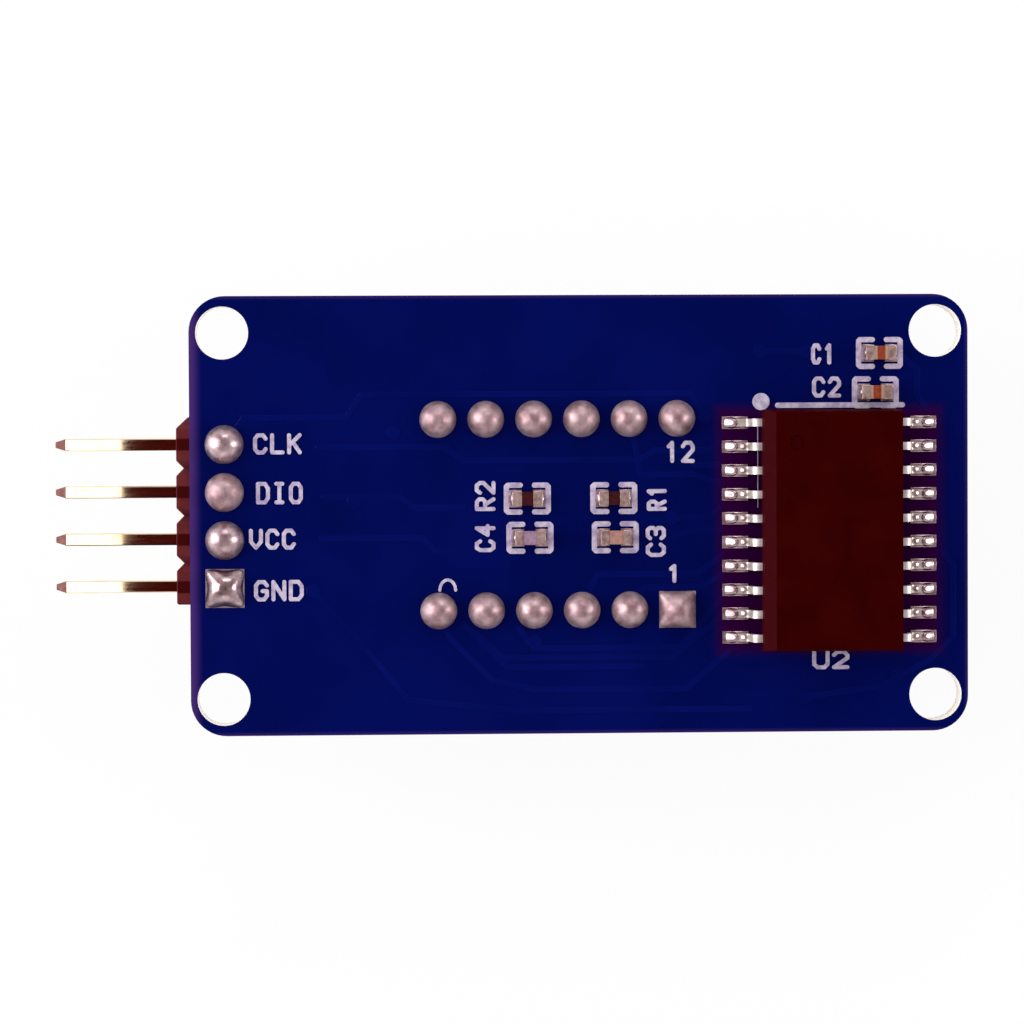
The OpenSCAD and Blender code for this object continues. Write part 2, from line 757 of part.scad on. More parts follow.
circuit_board();
plated_holes_header();
plated_holes_display();
driver_lands();
chip_lands();
header_housing();
for (i = [0:header_count - 1])
    header_pin(i);
for (i = [0:header_count - 1])
    header_solder(i);
driver_body();
driver_leads(-1);  // driver_leads_left
driver_leads(1);  // driver_leads_right
driver_solder(-1);  // driver_solder_left
driver_solder(1);  // driver_solder_right
for (name = chip_parts)
    chip_body(name);
for (name = chip_parts)
    chip_end_caps(name);
for (name = chip_parts)
    chip_solder(name);
display_shell();
display_face();
display_casting();
display_inner_board();
display_dies();
for (number = [1:display_pin_count])
    display_pin(number);
display_solder([1:row_count]);  // display_solder_lower_row
display_solder([row_count + 1:display_pin_count]);  // display_solder_upper_row
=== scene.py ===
# %% [markdown]
# # A seven segment display module, seen from its solder side
# The module is a blue circuit board, 41.4 mm long, that lies on its display. From above the eye
# meets the board's back: a driver chip, six tiny chip parts, two rows of solder joints that hold
# the display, and a four pin header. The lesson dresses a finished CAD model, the frame, with
# real finishes, and adds what is too thin for CAD: the print, the copper tracks under the mask
# and the soft skin of the solder joints.

# %% Load the frame
import math

import bpy
from mathutils import Matrix, Vector, noise


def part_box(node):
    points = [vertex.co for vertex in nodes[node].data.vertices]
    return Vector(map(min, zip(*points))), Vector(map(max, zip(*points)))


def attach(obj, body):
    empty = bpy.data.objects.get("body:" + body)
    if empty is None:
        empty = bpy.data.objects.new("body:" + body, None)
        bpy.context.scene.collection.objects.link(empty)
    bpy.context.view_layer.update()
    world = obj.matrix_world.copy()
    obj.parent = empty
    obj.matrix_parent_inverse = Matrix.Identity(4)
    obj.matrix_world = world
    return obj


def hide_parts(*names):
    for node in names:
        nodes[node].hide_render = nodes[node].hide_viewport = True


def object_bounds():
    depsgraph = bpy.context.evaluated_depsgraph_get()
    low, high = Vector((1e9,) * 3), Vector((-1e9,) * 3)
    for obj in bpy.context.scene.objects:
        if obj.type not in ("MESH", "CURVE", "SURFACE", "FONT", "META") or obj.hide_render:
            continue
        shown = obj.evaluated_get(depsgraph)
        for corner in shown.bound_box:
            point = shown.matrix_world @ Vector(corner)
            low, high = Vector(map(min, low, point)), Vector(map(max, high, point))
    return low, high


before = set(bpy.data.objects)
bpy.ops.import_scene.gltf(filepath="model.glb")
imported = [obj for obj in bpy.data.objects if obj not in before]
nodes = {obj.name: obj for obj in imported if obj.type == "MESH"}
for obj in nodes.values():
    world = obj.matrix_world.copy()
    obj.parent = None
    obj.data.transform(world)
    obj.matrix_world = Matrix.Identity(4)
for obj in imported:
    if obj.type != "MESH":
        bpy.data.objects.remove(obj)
cad_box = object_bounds()
MM = 0.001  # Blender works in metres, and this lesson thinks in millimetres
size = (cad_box[1] - cad_box[0]) / MM
print(f"frame: {len(nodes)} pieces, {size.x:.1f} x {size.y:.1f} x {size.z:.1f} mm")

# %% [markdown]
# ## The camera
# The photograph was taken from almost straight above with a long lens. Such a view could be an
# orthographic camera, but the real picture has a little perspective: the header pins lie 3 mm
# under the board and look slightly smaller. So a perspective camera stands 188 mm up, slightly
# to the left of the middle, and its focal length gives 3386 pixels for each unit of slope.

# %% Camera
PICTURE_PIXELS = 1024
FOCAL_PIXELS = 3385.9
SENSOR_WIDTH = 36.0
camera_place = Vector((-10.525, 4.393, 188.36)) * MM
camera_aim = Vector((-3.637, 0.151, 8.8)) * MM
camera_up = Vector((0.0048, 1.0, 0.0))

camera_data = bpy.data.cameras.new("camera")
camera_data.sensor_width = SENSOR_WIDTH
camera_data.lens = FOCAL_PIXELS * SENSOR_WIDTH / PICTURE_PIXELS
camera_data.clip_start = 10 * MM
camera = bpy.data.objects.new("camera", camera_data)
backwards = (camera_place - camera_aim).normalized()
rightwards = camera_up.cross(backwards).normalized()
upwards = backwards.cross(rightwards)
turn = Matrix((rightwards, upwards, backwards)).transposed()
camera.matrix_world = Matrix.Translation(camera_place) @ turn.to_4x4()
bpy.context.scene.collection.objects.link(camera)
bpy.context.scene.camera = camera
print(f"camera: {camera_data.lens:.1f} mm lens, {camera_place.z / MM:.0f} mm above the table")

# %% [markdown]
# ## Small helpers for materials
# Colours are picked as sRGB hex values, the way a paint chart gives them, but a renderer
# calculates in linear light, so one function converts them. Another adds one shader node with
# its settings and links. Real surfaces are never one flat value, so three recipes are used again
# and again: a colour that drifts in clouds, a gloss that drifts, and a fine grain you could feel.

# %% Material helpers
CLOUD_DETAIL = 3.0  # how many sizes of smaller clouds lie inside each cloud
GRAIN_DETAIL = 2.0
CLOUD_RANGE = (0.35, 0.65)  # a noise texture seldom leaves this range
WIDE_RANGE = (0.3, 0.7)  # for the gloss, which drifts more gently
SMOOTH = {"interpolation_type": "SMOOTHSTEP"}
COLOURS = {"data_type": "RGBA"}  # a Mix of colours takes them at 6 and 7 and gives output 2


def linear(hex_colour, alpha=1.0):
    """A linear colour with alpha from an sRGB hex value such as '2b5f9a'."""
    parts = [int(hex_colour[i:i + 2], 16) / 255 for i in (0, 2, 4)]
    return [c / 12.92 if c <= 0.04045 else ((c + 0.055) / 1.055) ** 2.4 for c in parts] + [alpha]


def add(owner, kind, settings=None, out=0, to=None, **inputs):
    """Add one shader node with its settings and links, and hand over one of its outputs."""
    tree = owner.node_tree
    node = tree.nodes.new("ShaderNode" + kind)
    for name, value in (settings or {}).items():
        setattr(node, name, value)
    for name, value in inputs.items():
        socket = node.inputs[int(name[1:]) if name[1:].isdigit() else name.replace("_", " ")]
        if isinstance(value, bpy.types.NodeSocket):
            tree.links.new(value, socket)
        else:
            socket.default_value = value
    if to:
        tree.links.new(node.outputs[out], to)
    return node.outputs[out]


def start_finish(name, colour, roughness, metallic=0.0, **constants):
    """Start a material: the name of a real finish, its colour and its typical gloss."""
    finish = bpy.data.materials.new(name)
    finish.use_nodes = True
    skin = finish.node_tree.nodes["Principled BSDF"].inputs
    skin["Base Color"].default_value = linear(colour)
    skin["Roughness"].default_value = roughness
    skin["Metallic"].default_value = metallic
    for socket, value in constants.items():
        skin[socket.replace("_", " ")].default_value = value
    return finish, skin


def place_in_mm(finish, stretch=(1, 1, 1)):
    """Where a point lies, in millimetres, so that every pattern keeps its real size."""
    place = add(finish, "TexCoord", out="Object")
    return add(finish, "VectorMath", {"operation": "MULTIPLY"}, i0=place,
               i1=[share / MM for share in stretch])


def drift_in_colour(finish, skin, blotch_mm, first, second, stretch=(1, 1, 1)):
    """Let the colour drift between two tones, in clouds of a real size."""
    clouds = add(finish, "TexNoise", Vector=place_in_mm(finish, stretch), Scale=1 / blotch_mm,
                 Detail=CLOUD_DETAIL)
    share = add(finish, "MapRange", Value=clouds, From_Min=CLOUD_RANGE[0],
                From_Max=CLOUD_RANGE[1])
    return add(finish, "Mix", COLOURS, out=2, to=skin["Base Color"], i0=share,
               i6=linear(first), i7=linear(second))


def drift_in_gloss(finish, skin, blotch_mm, smooth, rough, stretch=(1, 1, 1)):
    """Let the roughness drift between two values, in clouds of a real size."""
    clouds = add(finish, "TexNoise", Vector=place_in_mm(finish, stretch), Scale=1 / blotch_mm,
                 Detail=CLOUD_DETAIL)
    add(finish, "MapRange", to=skin["Roughness"], Value=clouds, From_Min=WIDE_RANGE[0],
        From_Max=WIDE_RANGE[1], To_Min=smooth, To_Max=rough)


def fine_grain(finish, skin, grain_mm, depth_mm, stretch=(1, 1, 1)):
    """Raise a fine grain: its spacing and its depth are real sizes."""
    bumps = add(finish, "TexNoise", Vector=place_in_mm(finish, stretch), Scale=1 / grain_mm,
                Detail=GRAIN_DETAIL)
    add(finish, "Bump", to=skin["Normal"], Height=bumps, Distance=depth_mm * MM)


def dress(finish, *names):
    """Give a finish to CAD pieces, which keep their shape."""
    for name in names:
        nodes[name].data.materials.clear()
        nodes[name].data.materials.append(finish)


print("helpers ready: #2b5f9a is", [round(c, 3) for c in linear("2b5f9a")])

# %% [markdown]
# ## Places on the board
# Some finishes change from place to place: the mask turns purple along the board's edge, and
# dark maroon around the driver. This could be painted on a picture, but then it would blur close
# up. Here it is worked out from where a point lies and which way the surface looks there, with
# the board's and the driver's places taken from the boxes of the CAD pieces.

# %% Places on the board
THROUGH = 10  # mm, more than the board is thick
HALF_TINT = (5.9, 6.45, THROUGH)
TINT_BLUR = 0.5
CHIP_PARTS = ("r1", "r2", "c1", "c2", "c3", "c4")


def box_in_mm(name):
    """The lowest and the highest corner of a CAD piece, in mm."""
    low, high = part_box(name)
    return low / MM, high / MM


def middle(name):
    """The middle of a CAD piece on the board, in mm."""
    low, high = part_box(name)
    return (low.x + high.x) / 2 / MM, (low.y + high.y) / 2 / MM


def beyond(finish, centre, half_size):
    """How far a point lies outside a rectangle, in mm: less than 0 is inside."""
    offset = add(finish, "VectorMath", {"operation": "SUBTRACT"}, i0=place_in_mm(finish), i1=centre)
    apart = add(finish, "VectorMath", {"operation": "ABSOLUTE"}, i0=offset)
    past = add(finish, "VectorMath", {"operation": "SUBTRACT"}, i0=apart, i1=half_size)
    past_x = add(finish, "SeparateXYZ", out="X", i0=past)
    return add(finish, "Math", {"operation": "MAXIMUM"}, i0=past_x, i1=past_x.node.outputs["Y"])


def looks_along(finish, axis):
    """How much the surface looks along X, Y or Z: 1 is straight along it, -1 straight back."""
    return add(finish, "SeparateXYZ", out=axis, i0=add(finish, "NewGeometry", out="Normal"))


def tint_around_driver(finish, clean):
    """Tint a colour dark maroon on the upper face around the driver."""
    low, high = box_in_mm("driver_body")
    outside = beyond(finish, (low + high) / 2, HALF_TINT)
    near = add(finish, "MapRange", SMOOTH, Value=outside,
               From_Min=TINT_BLUR, From_Max=-TINT_BLUR)
    share = add(finish, "Math", {"operation": "MULTIPLY", "use_clamp": True}, i0=near,
                i1=looks_along(finish, "Z"))
    return add(finish, "Mix", COLOURS, out=2, i0=share, i6=clean, i7=linear("2c0036"))


board_high = box_in_mm("circuit_board")[1]
board_top = board_high.z
print(f"board top at z = {board_top:.2f} mm")

# %% [markdown]
# ## Solder mask on glass epoxy laminate
# The board is FR-4, woven glass in epoxy, and its two faces carry a navy solder mask: a cured
# liquid film. The mask gives the eye a very deep, even blue under a thin wet gloss, so it gets a
# matt base and a smooth clear coat. The board's sides were routed, so they show the bare
# laminate, tan where the mask ends, with the layers of glass cloth as fine lines. One material
# can do both, because a side is wherever the surface normal lies flat. The walls of the four
# mounting holes were drilled, which leaves a pale glassy resin. Along the edges the mask's
# colour turns purple, in the widest strip along the left edge, behind the header. The weave of
# the glass, about 0.5 mm, prints through the mask as the faintest relief.

# %% Solder mask and laminate
HOLE_INSET = (1.75, 1.95)
HOLE_WIDTH = 2.8
HOLE_MARGIN = 0.1  # mm, so that the whole wall of a hole is caught
GLASS_WEAVE = 0.5
WEAVE_DEPTH = 0.004
GLASS_LAYER = 0.18
ALONG_LAYERS = (0.015, 0.015, 1)  # layers run on in X and Y and are thin in Z
WAVE_PER_TURN = 0.314  # Blender's wave texture makes about 3.2 turns in one unit
WEAVE_WOBBLE = 1.5
RIM_WIDTH = 0.22
RIM_SHARE = 0.5
LEFT_RIM_WIDTH = 0.7
half_board = (board_high.x, board_high.y, THROUGH)
hole_place = (board_high.x - HOLE_INSET[0], board_high.y - HOLE_INSET[1], 0)

mask, skin = start_finish("navy_solder_mask", "000a50", 0.4, Specular_IOR_Level=0.01,
                          Coat_Weight=0.2, Coat_Roughness=0.06)
navy = drift_in_colour(mask, skin, 6.0, "00094b", "010b54")
# the colour turns purple in a thin strip along every edge and in a wider one along the left edge
rim = add(mask, "MapRange", Value=beyond(mask, (0, 0, 0), half_board), From_Min=-RIM_WIDTH,
          From_Max=0, To_Max=RIM_SHARE)
left_rim = add(mask, "MapRange", SMOOTH,
               Value=add(mask, "SeparateXYZ", out="X", i0=place_in_mm(mask)),
               From_Min=LEFT_RIM_WIDTH - half_board[0], From_Max=-half_board[0])
rim = add(mask, "Math", {"operation": "MAXIMUM"}, i0=rim, i1=left_rim)
edge_purple = add(mask, "Mix", COLOURS, out=2, i0=rim, i6=navy, i7=linear("42296a"))
# the upper face turns dark maroon around the driver
driver_tinted = tint_around_driver(mask, edge_purple)

layers = add(mask, "TexNoise", Vector=place_in_mm(mask, ALONG_LAYERS), Scale=1 / GLASS_LAYER,
             Detail=CLOUD_DETAIL)
laminate = add(mask, "Mix", COLOURS, out=2, i0=layers, i6=linear("7d7458"),
               i7=linear("a89b74"))
corner = add(mask, "VectorMath", {"operation": "ABSOLUTE"}, i0=place_in_mm(mask, (1, 1, 0)))
from_hole = add(mask, "VectorMath", {"operation": "DISTANCE"}, out="Value", i0=corner,
                i1=hole_place)
in_hole = add(mask, "Math", {"operation": "LESS_THAN"}, i0=from_hole,
              i1=HOLE_WIDTH / 2 + HOLE_MARGIN)
side = add(mask, "Mix", COLOURS, out=2, i0=in_hole, i6=laminate, i7=linear("f2ede4"))
upright = add(mask, "Math", {"operation": "ABSOLUTE"}, i0=looks_along(mask, "Z"))
is_face = add(mask, "Math", {"operation": "GREATER_THAN"}, i0=upright, i1=0.5)
add(mask, "Mix", COLOURS, out=2, to=skin["Base Color"], i0=is_face, i6=side,
    i7=driver_tinted)

drift_in_gloss(mask, skin, 1.2, 0.34, 0.46)
warp, weft = (add(mask, "TexWave", {"bands_direction": axis}, out="Fac",
                  Vector=place_in_mm(mask), Scale=WAVE_PER_TURN / GLASS_WEAVE,
                  Distortion=WEAVE_WOBBLE) for axis in "XY")
weave = add(mask, "Math", {"operation": "MULTIPLY"}, i0=warp, i1=weft)
add(mask, "Bump", to=skin["Normal"], Height=weave, Distance=WEAVE_DEPTH * MM)
dress(mask, "circuit_board")
print("mask: navy over", GLASS_WEAVE, "mm glass weave")

# %% [markdown]
# ## Building thin flat shapes
# Print and copper tracks are flat lines with rounded ends. They could be curves with a bevel,
# but a curve gives round wires, and print is flat. So a small pen draws each straight run as a
# flat bar with a half circle at both ends, the way a plotter exposes them. Where two bars meet,
# their round ends make the corner.

# %% A pen for flat lines
CAP_STEPS = 10
HAIR = 0.00005  # mm, keeps overlapping tops apart


def new_piece(name, verts, faces, finish, smooth=False):
    """Turn lists of points (in mm) and faces into one piece that rides on the board."""
    mesh = bpy.data.meshes.new(name)
    mesh.from_pydata([Vector(v) * MM for v in verts], [], faces)
    mesh.materials.append(finish)
    mesh.polygons.foreach_set("use_smooth", [smooth] * len(mesh.polygons))
    piece = bpy.data.objects.new(name, mesh)
    bpy.context.scene.collection.objects.link(piece)
    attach(piece, "root")
    return piece


def half_circle(centre, radius, start):
    """Points of an anticlockwise half circle that starts at an angle."""
    angles = [start + math.pi * k / CAP_STEPS for k in range(CAP_STEPS + 1)]
    return [(centre[0] + radius * math.cos(a), centre[1] + radius * math.sin(a)) for a in angles]


def draw_bar(verts, faces, start, end, width, z0, z1):
    """Append one flat bar with round ends. With start and end alike it is a disc."""
    along = math.atan2(end[1] - start[1], end[0] - start[0])
    outline = half_circle(end, width / 2, along - math.pi / 2)
    outline += half_circle(start, width / 2, along + math.pi / 2)
    first, count = len(verts), len(outline)
    verts += [(x, y, z) for z in (z0, z1) for x, y in outline]
    faces.append([first + k for k in reversed(range(count))])
    faces.append([first + count + k for k in range(count)])
    for k in range(count):
        after = (k + 1) % count
        faces.append([first + k, first + after, first + count + after, first + count + k])


def draw_line(verts, faces, points, width, z0, z1):
    """Append a line as bars, each a hair higher than all the bars before it."""
    for start, end in zip(points, points[1:]):
        bars_so_far = len(verts) // (4 * (CAP_STEPS + 1))
        draw_bar(verts, faces, start, end, width, z0, z1 + bars_so_far * HAIR)


print("pen: a round end has", CAP_STEPS, "steps")

# %% [markdown]
# ## Copper tracks and vias under the mask
# The copper was etched to 35 micrometre thick tracks, and the mask flows over them, so a track
# shows as a soft ridge of the same navy, a touch brighter. A bump would do from above, but it
# vanishes in side views, so each track is a real ridge. Vias are small discs that the mask has
# closed.

# %% Tracks
SUNK = 0.02  # mm, tracks and print begin this far inside the board
TRACK_WIDTH = 0.3
TRACK_HEIGHT = 0.018  # the mask levels out half of the copper's step
SOFT_FLANK = 0.016
VIA_WIDTH = 0.75
VIA_HEIGHT = 1.5 * TRACK_HEIGHT

tracks = [
    [(-13.9, 3.62), (-7.2, 3.62), (-6.2, 2.9), (3.2, 2.9), (4.0, 3.4), (6.9, 3.4), (7.6, 3.9)],
    [(-13.6, 1.0), (-9.6, 1.0), (-8.8, 0.4), (-6.2, 0.4)],
    [(-13.7, -1.2), (-8.4, -1.2), (-7.7, -1.9), (-6.3, -1.9)],
    [(-6.1, -5.9), (-3.9, -8.1), (3.3, -8.1)],
    [(-5.6, -6.3), (-4.1, -7.6), (4.9, -7.6), (7.6, -5.4)],
    [(-3.3, -6.0), (-2.5, -7.1), (5.3, -7.1), (7.6, -4.4)],
    [(-2.5, -9.3), (-4.7, -8.8), (-6.9, -6.6), (-7.2, -6.0)],
    [(-2.5, -9.3), (5.6, -9.3), (8.4, -6.9)],
    [(0.4, -4.2), (0.9, -3.2), (6.2, -3.2), (7.6, -2.2)],
    [(2.9, -4.3), (3.4, -3.9), (6.5, -3.9), (7.6, -3.2)],
    [(4.9, -0.2), (6.9, -0.2), (7.6, 0.4)],
    [(5.0, -1.2), (6.0, -0.9), (7.6, -0.9)],
    [(5.4, 4.3), (6.1, 2.6), (7.6, 2.6)],
    [(2.8, 4.4), (3.2, 2.1), (6.0, 2.1), (7.6, 1.6)],
    [(9.6, 8.6), (12.1, 8.6)],
    [(17.0, 8.5), (18.0, 7.6), (18.0, 6.2), (18.6, 5.4)],
    [(-18.9, 3.8), (-17.8, 5.2), (-12.4, 5.2), (-11.6, 6.4), (5.9, 6.4), (6.6, 5.2)],
    [(19.4, -2.2), (19.9, -2.8), (19.9, -6.6), (18.6, -7.9), (16.0, -9.2), (12.0, -9.8)],
    [(-14.2, -4.0), (-11.8, -6.6), (-9.2, -9.8), (-3.6, -10.4), (9.0, -10.4)],
]
vias = [(-12.0, 0.75), (-2.45, -6.75), (9.6, 8.6), (12.1, 8.6), (6.6, 5.2), (8.4, -6.9),
        (12.0, -9.8), (-9.9, 4.4), (4.9, -0.2), (-14.2, -4.0), (16.9, -8.6)]

verts, faces = [], []
base = board_top - SUNK
for track in tracks:
    draw_line(verts, faces, track, TRACK_WIDTH, base, board_top + TRACK_HEIGHT)
for via in vias:
    draw_line(verts, faces, [via, via], VIA_WIDTH, base, board_top + VIA_HEIGHT)

covered, skin = start_finish("solder_mask_over_copper", "010c56", 0.4, Specular_IOR_Level=0.01,
                             Coat_Weight=0.2, Coat_Roughness=0.08)
copper_blue = drift_in_colour(covered, skin, 5.0, "000b51", "020e5b")
covered.node_tree.links.new(tint_around_driver(covered, copper_blue), skin["Base Color"])
fine_grain(covered, skin, 0.3, 0.002)
ridges = new_piece("tracks_under_mask", verts, faces, covered)
rounding = ridges.modifiers.new("soft_flanks", "BEVEL")
rounding.width = SOFT_FLANK * MM
rounding.segments = 2
print(f"tracks: {len(tracks)} tracks and {len(vias)} closed vias")

# %% [markdown]
# ## Letters of one pen
# A font file could write the board's legend, but real ones are drawn with a pen of one width,
# with cut corners in place of curves. So each letter here is a few strokes in a box that is one
# unit wide and high, and a row of letters is fitted into the place that its ink takes up.

# %% Letters
LETTER_LINE = 0.21
LETTER_GAP = 0.13
letters = {
    "C": [[(1, .8), (.75, 1), (.25, 1), (0, .8), (0, .2), (.25, 0), (.75, 0), (1, .2)]],
    "D": [[(.35, 1), (.7, 1), (1, .75), (1, .25), (.7, 0), (0, 0), (0, 1), (.5, 1)]],
    "G": [[(1, .8), (.75, 1), (.25, 1), (0, .8), (0, .2), (.25, 0), (.75, 0), (1, .2), (1, .48),
           (.6, .48)]],
    "I": [[(.5, 1), (.5, 0)], [(.2, 1), (.8, 1)], [(.2, 0), (.8, 0)]],
    "K": [[(0, 1), (0, 0)], [(1, 1), (.08, .45)], [(.35, .6), (1, 0)]],
    "L": [[(0, 1), (0, 0), (1, 0)]],
    "N": [[(0, 0), (0, 1)], [(0, 1), (1, 0)], [(1, 0), (1, 1)]],
    "O": [[(.5, 1), (.25, 1), (0, .8), (0, .2), (.25, 0), (.75, 0), (1, .2), (1, .8), (.75, 1),
           (.4, 1)]],
    "R": [[(0, 0), (0, 1), (.75, 1), (1, .85), (1, .65), (.75, .5), (.05, .5)],
          [(.45, .5), (1, 0)]],
    "U": [[(0, 1), (0, .2), (.25, 0), (.75, 0), (1, .2), (1, 1)]],
    "V": [[(0, 1), (0, .35), (.5, 0)], [(1, 1), (1, .35), (.5, 0)]],
    "1": [[(.2, .8), (.55, 1), (.55, 0)]],
    "2": [[(0, .8), (.25, 1), (.75, 1), (1, .8), (1, .6), (.05, .03)], [(0, 0), (1, 0)]],
    "3": [[(0, .85), (.2, 1), (.8, 1), (1, .85), (1, .65), (.75, .5), (.4, .5)],
          [(.75, .5), (1, .35), (1, .15), (.8, 0), (.2, 0), (0, .15)]],
    "4": [[(.75, 0), (.75, 1)], [(.75, 1), (0, .35)], [(0, .35), (1, .35)]],
}
ink_strokes = []


def letter_row(text, x0, x1, y0, y1, upwards=False):
    """Write text so that its ink fills a box on the board. Upwards means read from below."""
    run, rise = (y1 - y0, x1 - x0) if upwards else (x1 - x0, y1 - y0)
    wide = (run - LETTER_GAP * (len(text) - 1)) / len(text) - LETTER_LINE
    tall = rise - LETTER_LINE
    for place, letter in enumerate(text):
        start = place * (wide + LETTER_LINE + LETTER_GAP) + LETTER_LINE / 2
        for stroke in letters[letter]:
            flat = [(start + u * wide, LETTER_LINE / 2 + v * tall) for u, v in stroke]
            if upwards:
                flat = [(x1 - v, y0 + u) for u, v in flat]
            else:
                flat = [(x0 + u, y0 + v) for u, v in flat]
            ink_strokes.append((flat, LETTER_LINE))


print(f"letters: {len(letters)} signs of one pen, {LETTER_LINE} mm wide")

# %% [markdown]
# ## Silkscreen print
# The legend is white epoxy ink, pressed through a fine screen, about 0.02 mm thick. It gives the
# eye a matt, slightly lilac white, a little thin where the screen's mesh held the ink back. It
# names the header's pins and the parts, puts two brackets around each chip part, and marks the
# driver with a line, a hair line beside its leads and the disc of pin 1.

# %% Print
INK_HEIGHT = 0.02
INK_LIFT = 0.01  # mm, keeps the print's top clear of every ridge
INK_LINE = 0.28
DRIVER_LINE_GAP = 0.23
DRIVER_LINE_ENDS = (0.98, 0.2)  # mm, right of the body's left side and of its right side
HAIR_LINE = 0.035
HAIR_LINE_GAP = 0.09
HAIR_LINE_ENDS = (5.2, 0.7)  # mm, under the body's upper side
ARC_LINE = 0.16
ARC_PLACE = (-7.07, -3.98)
ARC_HALF = (0.42, 0.55)
ARC_STEPS = 8
PIN_1_DISC = 0.92
PIN_1_PLACE = (9.64, 5.95)


def part_outline(x, y):
    """Two brackets around a chip part, with clipped corners."""
    half_x, half_y, open_x, clip = 1.11, 0.71, 0.38, 0.08
    for side in (-1, 1):
        bracket = [(open_x, half_y), (half_x - clip, half_y), (half_x, half_y - clip),
                   (half_x, clip - half_y), (half_x - clip, -half_y), (open_x, -half_y)]
        ink_strokes.append(([(x + side * u, y + v) for u, v in bracket], INK_LINE))


letter_row("CLK", -17.33, -14.76, 3.27, 4.39)
letter_row("DIO", -17.19, -14.72, 0.63, 1.82)
letter_row("VCC", -17.58, -15.10, -1.77, -0.66)
letter_row("GND", -17.33, -14.70, -4.51, -3.38)
letter_row("C1", 12.32, 13.55, 7.91, 9.03)
letter_row("C2", 12.37, 13.92, 6.15, 7.27)
letter_row("U2", 12.34, 14.33, -8.33, -7.30)
letter_row("12", 4.50, 6.10, 2.71, 3.89)
letter_row("1", 4.60, 5.33, -3.67, -2.66)
letter_row("R2", -5.61, -4.51, 0.21, 1.81, upwards=True)
letter_row("C4", -5.62, -4.52, -1.97, -0.48, upwards=True)
letter_row("R1", 3.53, 4.60, 0.17, 1.50, upwards=True)
letter_row("C3", 3.47, 4.54, -2.28, -0.63, upwards=True)
for name in CHIP_PARTS:
    part_outline(*middle("chip_" + name))

driver_low, driver_high = box_in_mm("driver_body")
line_y = driver_high.y + DRIVER_LINE_GAP
driver_line = [(driver_low.x + DRIVER_LINE_ENDS[0], line_y),
               (driver_high.x + DRIVER_LINE_ENDS[1], line_y)]
ink_strokes.append((driver_line, INK_LINE))
line_x = driver_low.x - HAIR_LINE_GAP
ink_strokes.append(([(line_x, driver_high.y - end) for end in HAIR_LINE_ENDS], HAIR_LINE))
arc = []
for step in range(ARC_STEPS + 1):
    angle = math.pi * step / ARC_STEPS
    arc.append((ARC_PLACE[0] + ARC_HALF[0] * math.cos(angle),
                ARC_PLACE[1] + ARC_HALF[1] * math.sin(angle)))
ink_strokes.append((arc, ARC_LINE))
ink_strokes.append(([PIN_1_PLACE, PIN_1_PLACE], PIN_1_DISC))

verts, faces = [], []
print_top = board_top + TRACK_HEIGHT + INK_HEIGHT + INK_LIFT
for stroke, width in ink_strokes:
    draw_line(verts, faces, stroke, width, base, print_top)

ink, skin = start_finish("white_legend_ink", "b9abc6", 0.6, Specular_IOR_Level=0.2)
drift_in_colour(ink, skin, 0.35, "a193b4", "c8c0d2")
fine_grain(ink, skin, 0.12, 0.004)
new_piece("legend_print", verts, faces, ink)
print(f"print: {len(ink_strokes)} strokes")

# %% [markdown]
# ## Solder joints
# Molten solder wets its pad and pulls itself into a smooth dome by surface tension. On a square
# pad the same skin makes a cushion that turns square only near its edge. The CAD domes are perfect
# caps; real ones lean a little, each its own way, and a shiny skin makes that very visible. So
# each joint is set out again as rings of points over its pad: the rings are round at the top and
# take the pad's outline at the foot, and slow noise gives each joint its own lean.

# %% A mound of solder
RINGS = 24
SPOKES = 64
EASE = 0.8  # 0.5 would be half a ball, 1 a parabola
SWELL = 0.07  # how much slow noise lifts or lowers the flank, as a share of the height
SWELL_PER_MM = 1.6
ROUND_PAD = 2
SQUARE_PAD = 9


def pad_edge(angle, half_x, half_y, corner):
    """Distance from a pad's middle to its edge: corner 2 gives an ellipse, 9 a rectangle."""
    across = abs(math.cos(angle)) / half_x
    along = abs(math.sin(angle)) / half_y
    return (across ** corner + along ** corner) ** (-1 / corner)


def add_mound(verts, faces, place, half_x, half_y, corner, foot_z, top_z, pulled=0.0, lean=0.12,
              flank=0):
    """Append a mound over a pad. Pulled draws the middle of a square pad's sides inwards, and
    flank -1 or 1 makes it one broad slope that looks to the left or to the right."""
    first = len(verts)
    tall = top_z - foot_z
    seed = place[0] * 0.37 + place[1] * 1.31  # another value, and so another lean, at each place
    tilt_x = noise.noise((seed, 3.1, 0.4)) * lean
    tilt_y = noise.noise((seed, 0.2, 7.7)) * lean
    for ring in range(RINGS + 1):
        share = math.sin(math.pi / 2 * ring / RINGS)
        for spoke in range(SPOKES):
            angle = 2 * math.pi * spoke / SPOKES
            foot = pad_edge(angle, half_x, half_y, corner)
            foot *= 1 - pulled * abs(math.cos(2 * angle)) ** 3
            crown = pad_edge(angle, half_x, half_y, ROUND_PAD)
            reach = share * (crown + (foot - crown) * share ** 3)
            u, v = reach * math.cos(angle), reach * math.sin(angle)
            height = (1 - share ** (4 if flank else 2)) ** EASE
            wave = noise.noise((u * SWELL_PER_MM + seed, v * SWELL_PER_MM, 1.7))
            swell = 1 + SWELL * wave * math.sqrt(1 - height)
            slope = 1 - flank * u / half_x
            verts.append((place[0] + u + tilt_x * height, place[1] + v + tilt_y * height,
                          foot_z + tall * slope * min(height * swell, 1)))
    faces.append([first + spoke for spoke in range(SPOKES)])
    for ring in range(RINGS):
        for spoke in range(SPOKES):
            a = first + ring * SPOKES + spoke
            b = first + ring * SPOKES + (spoke + 1) % SPOKES
            faces.append([a, a + SPOKES, b + SPOKES, b])
    faces.append([first + RINGS * SPOKES + spoke for spoke in reversed(range(SPOKES))])


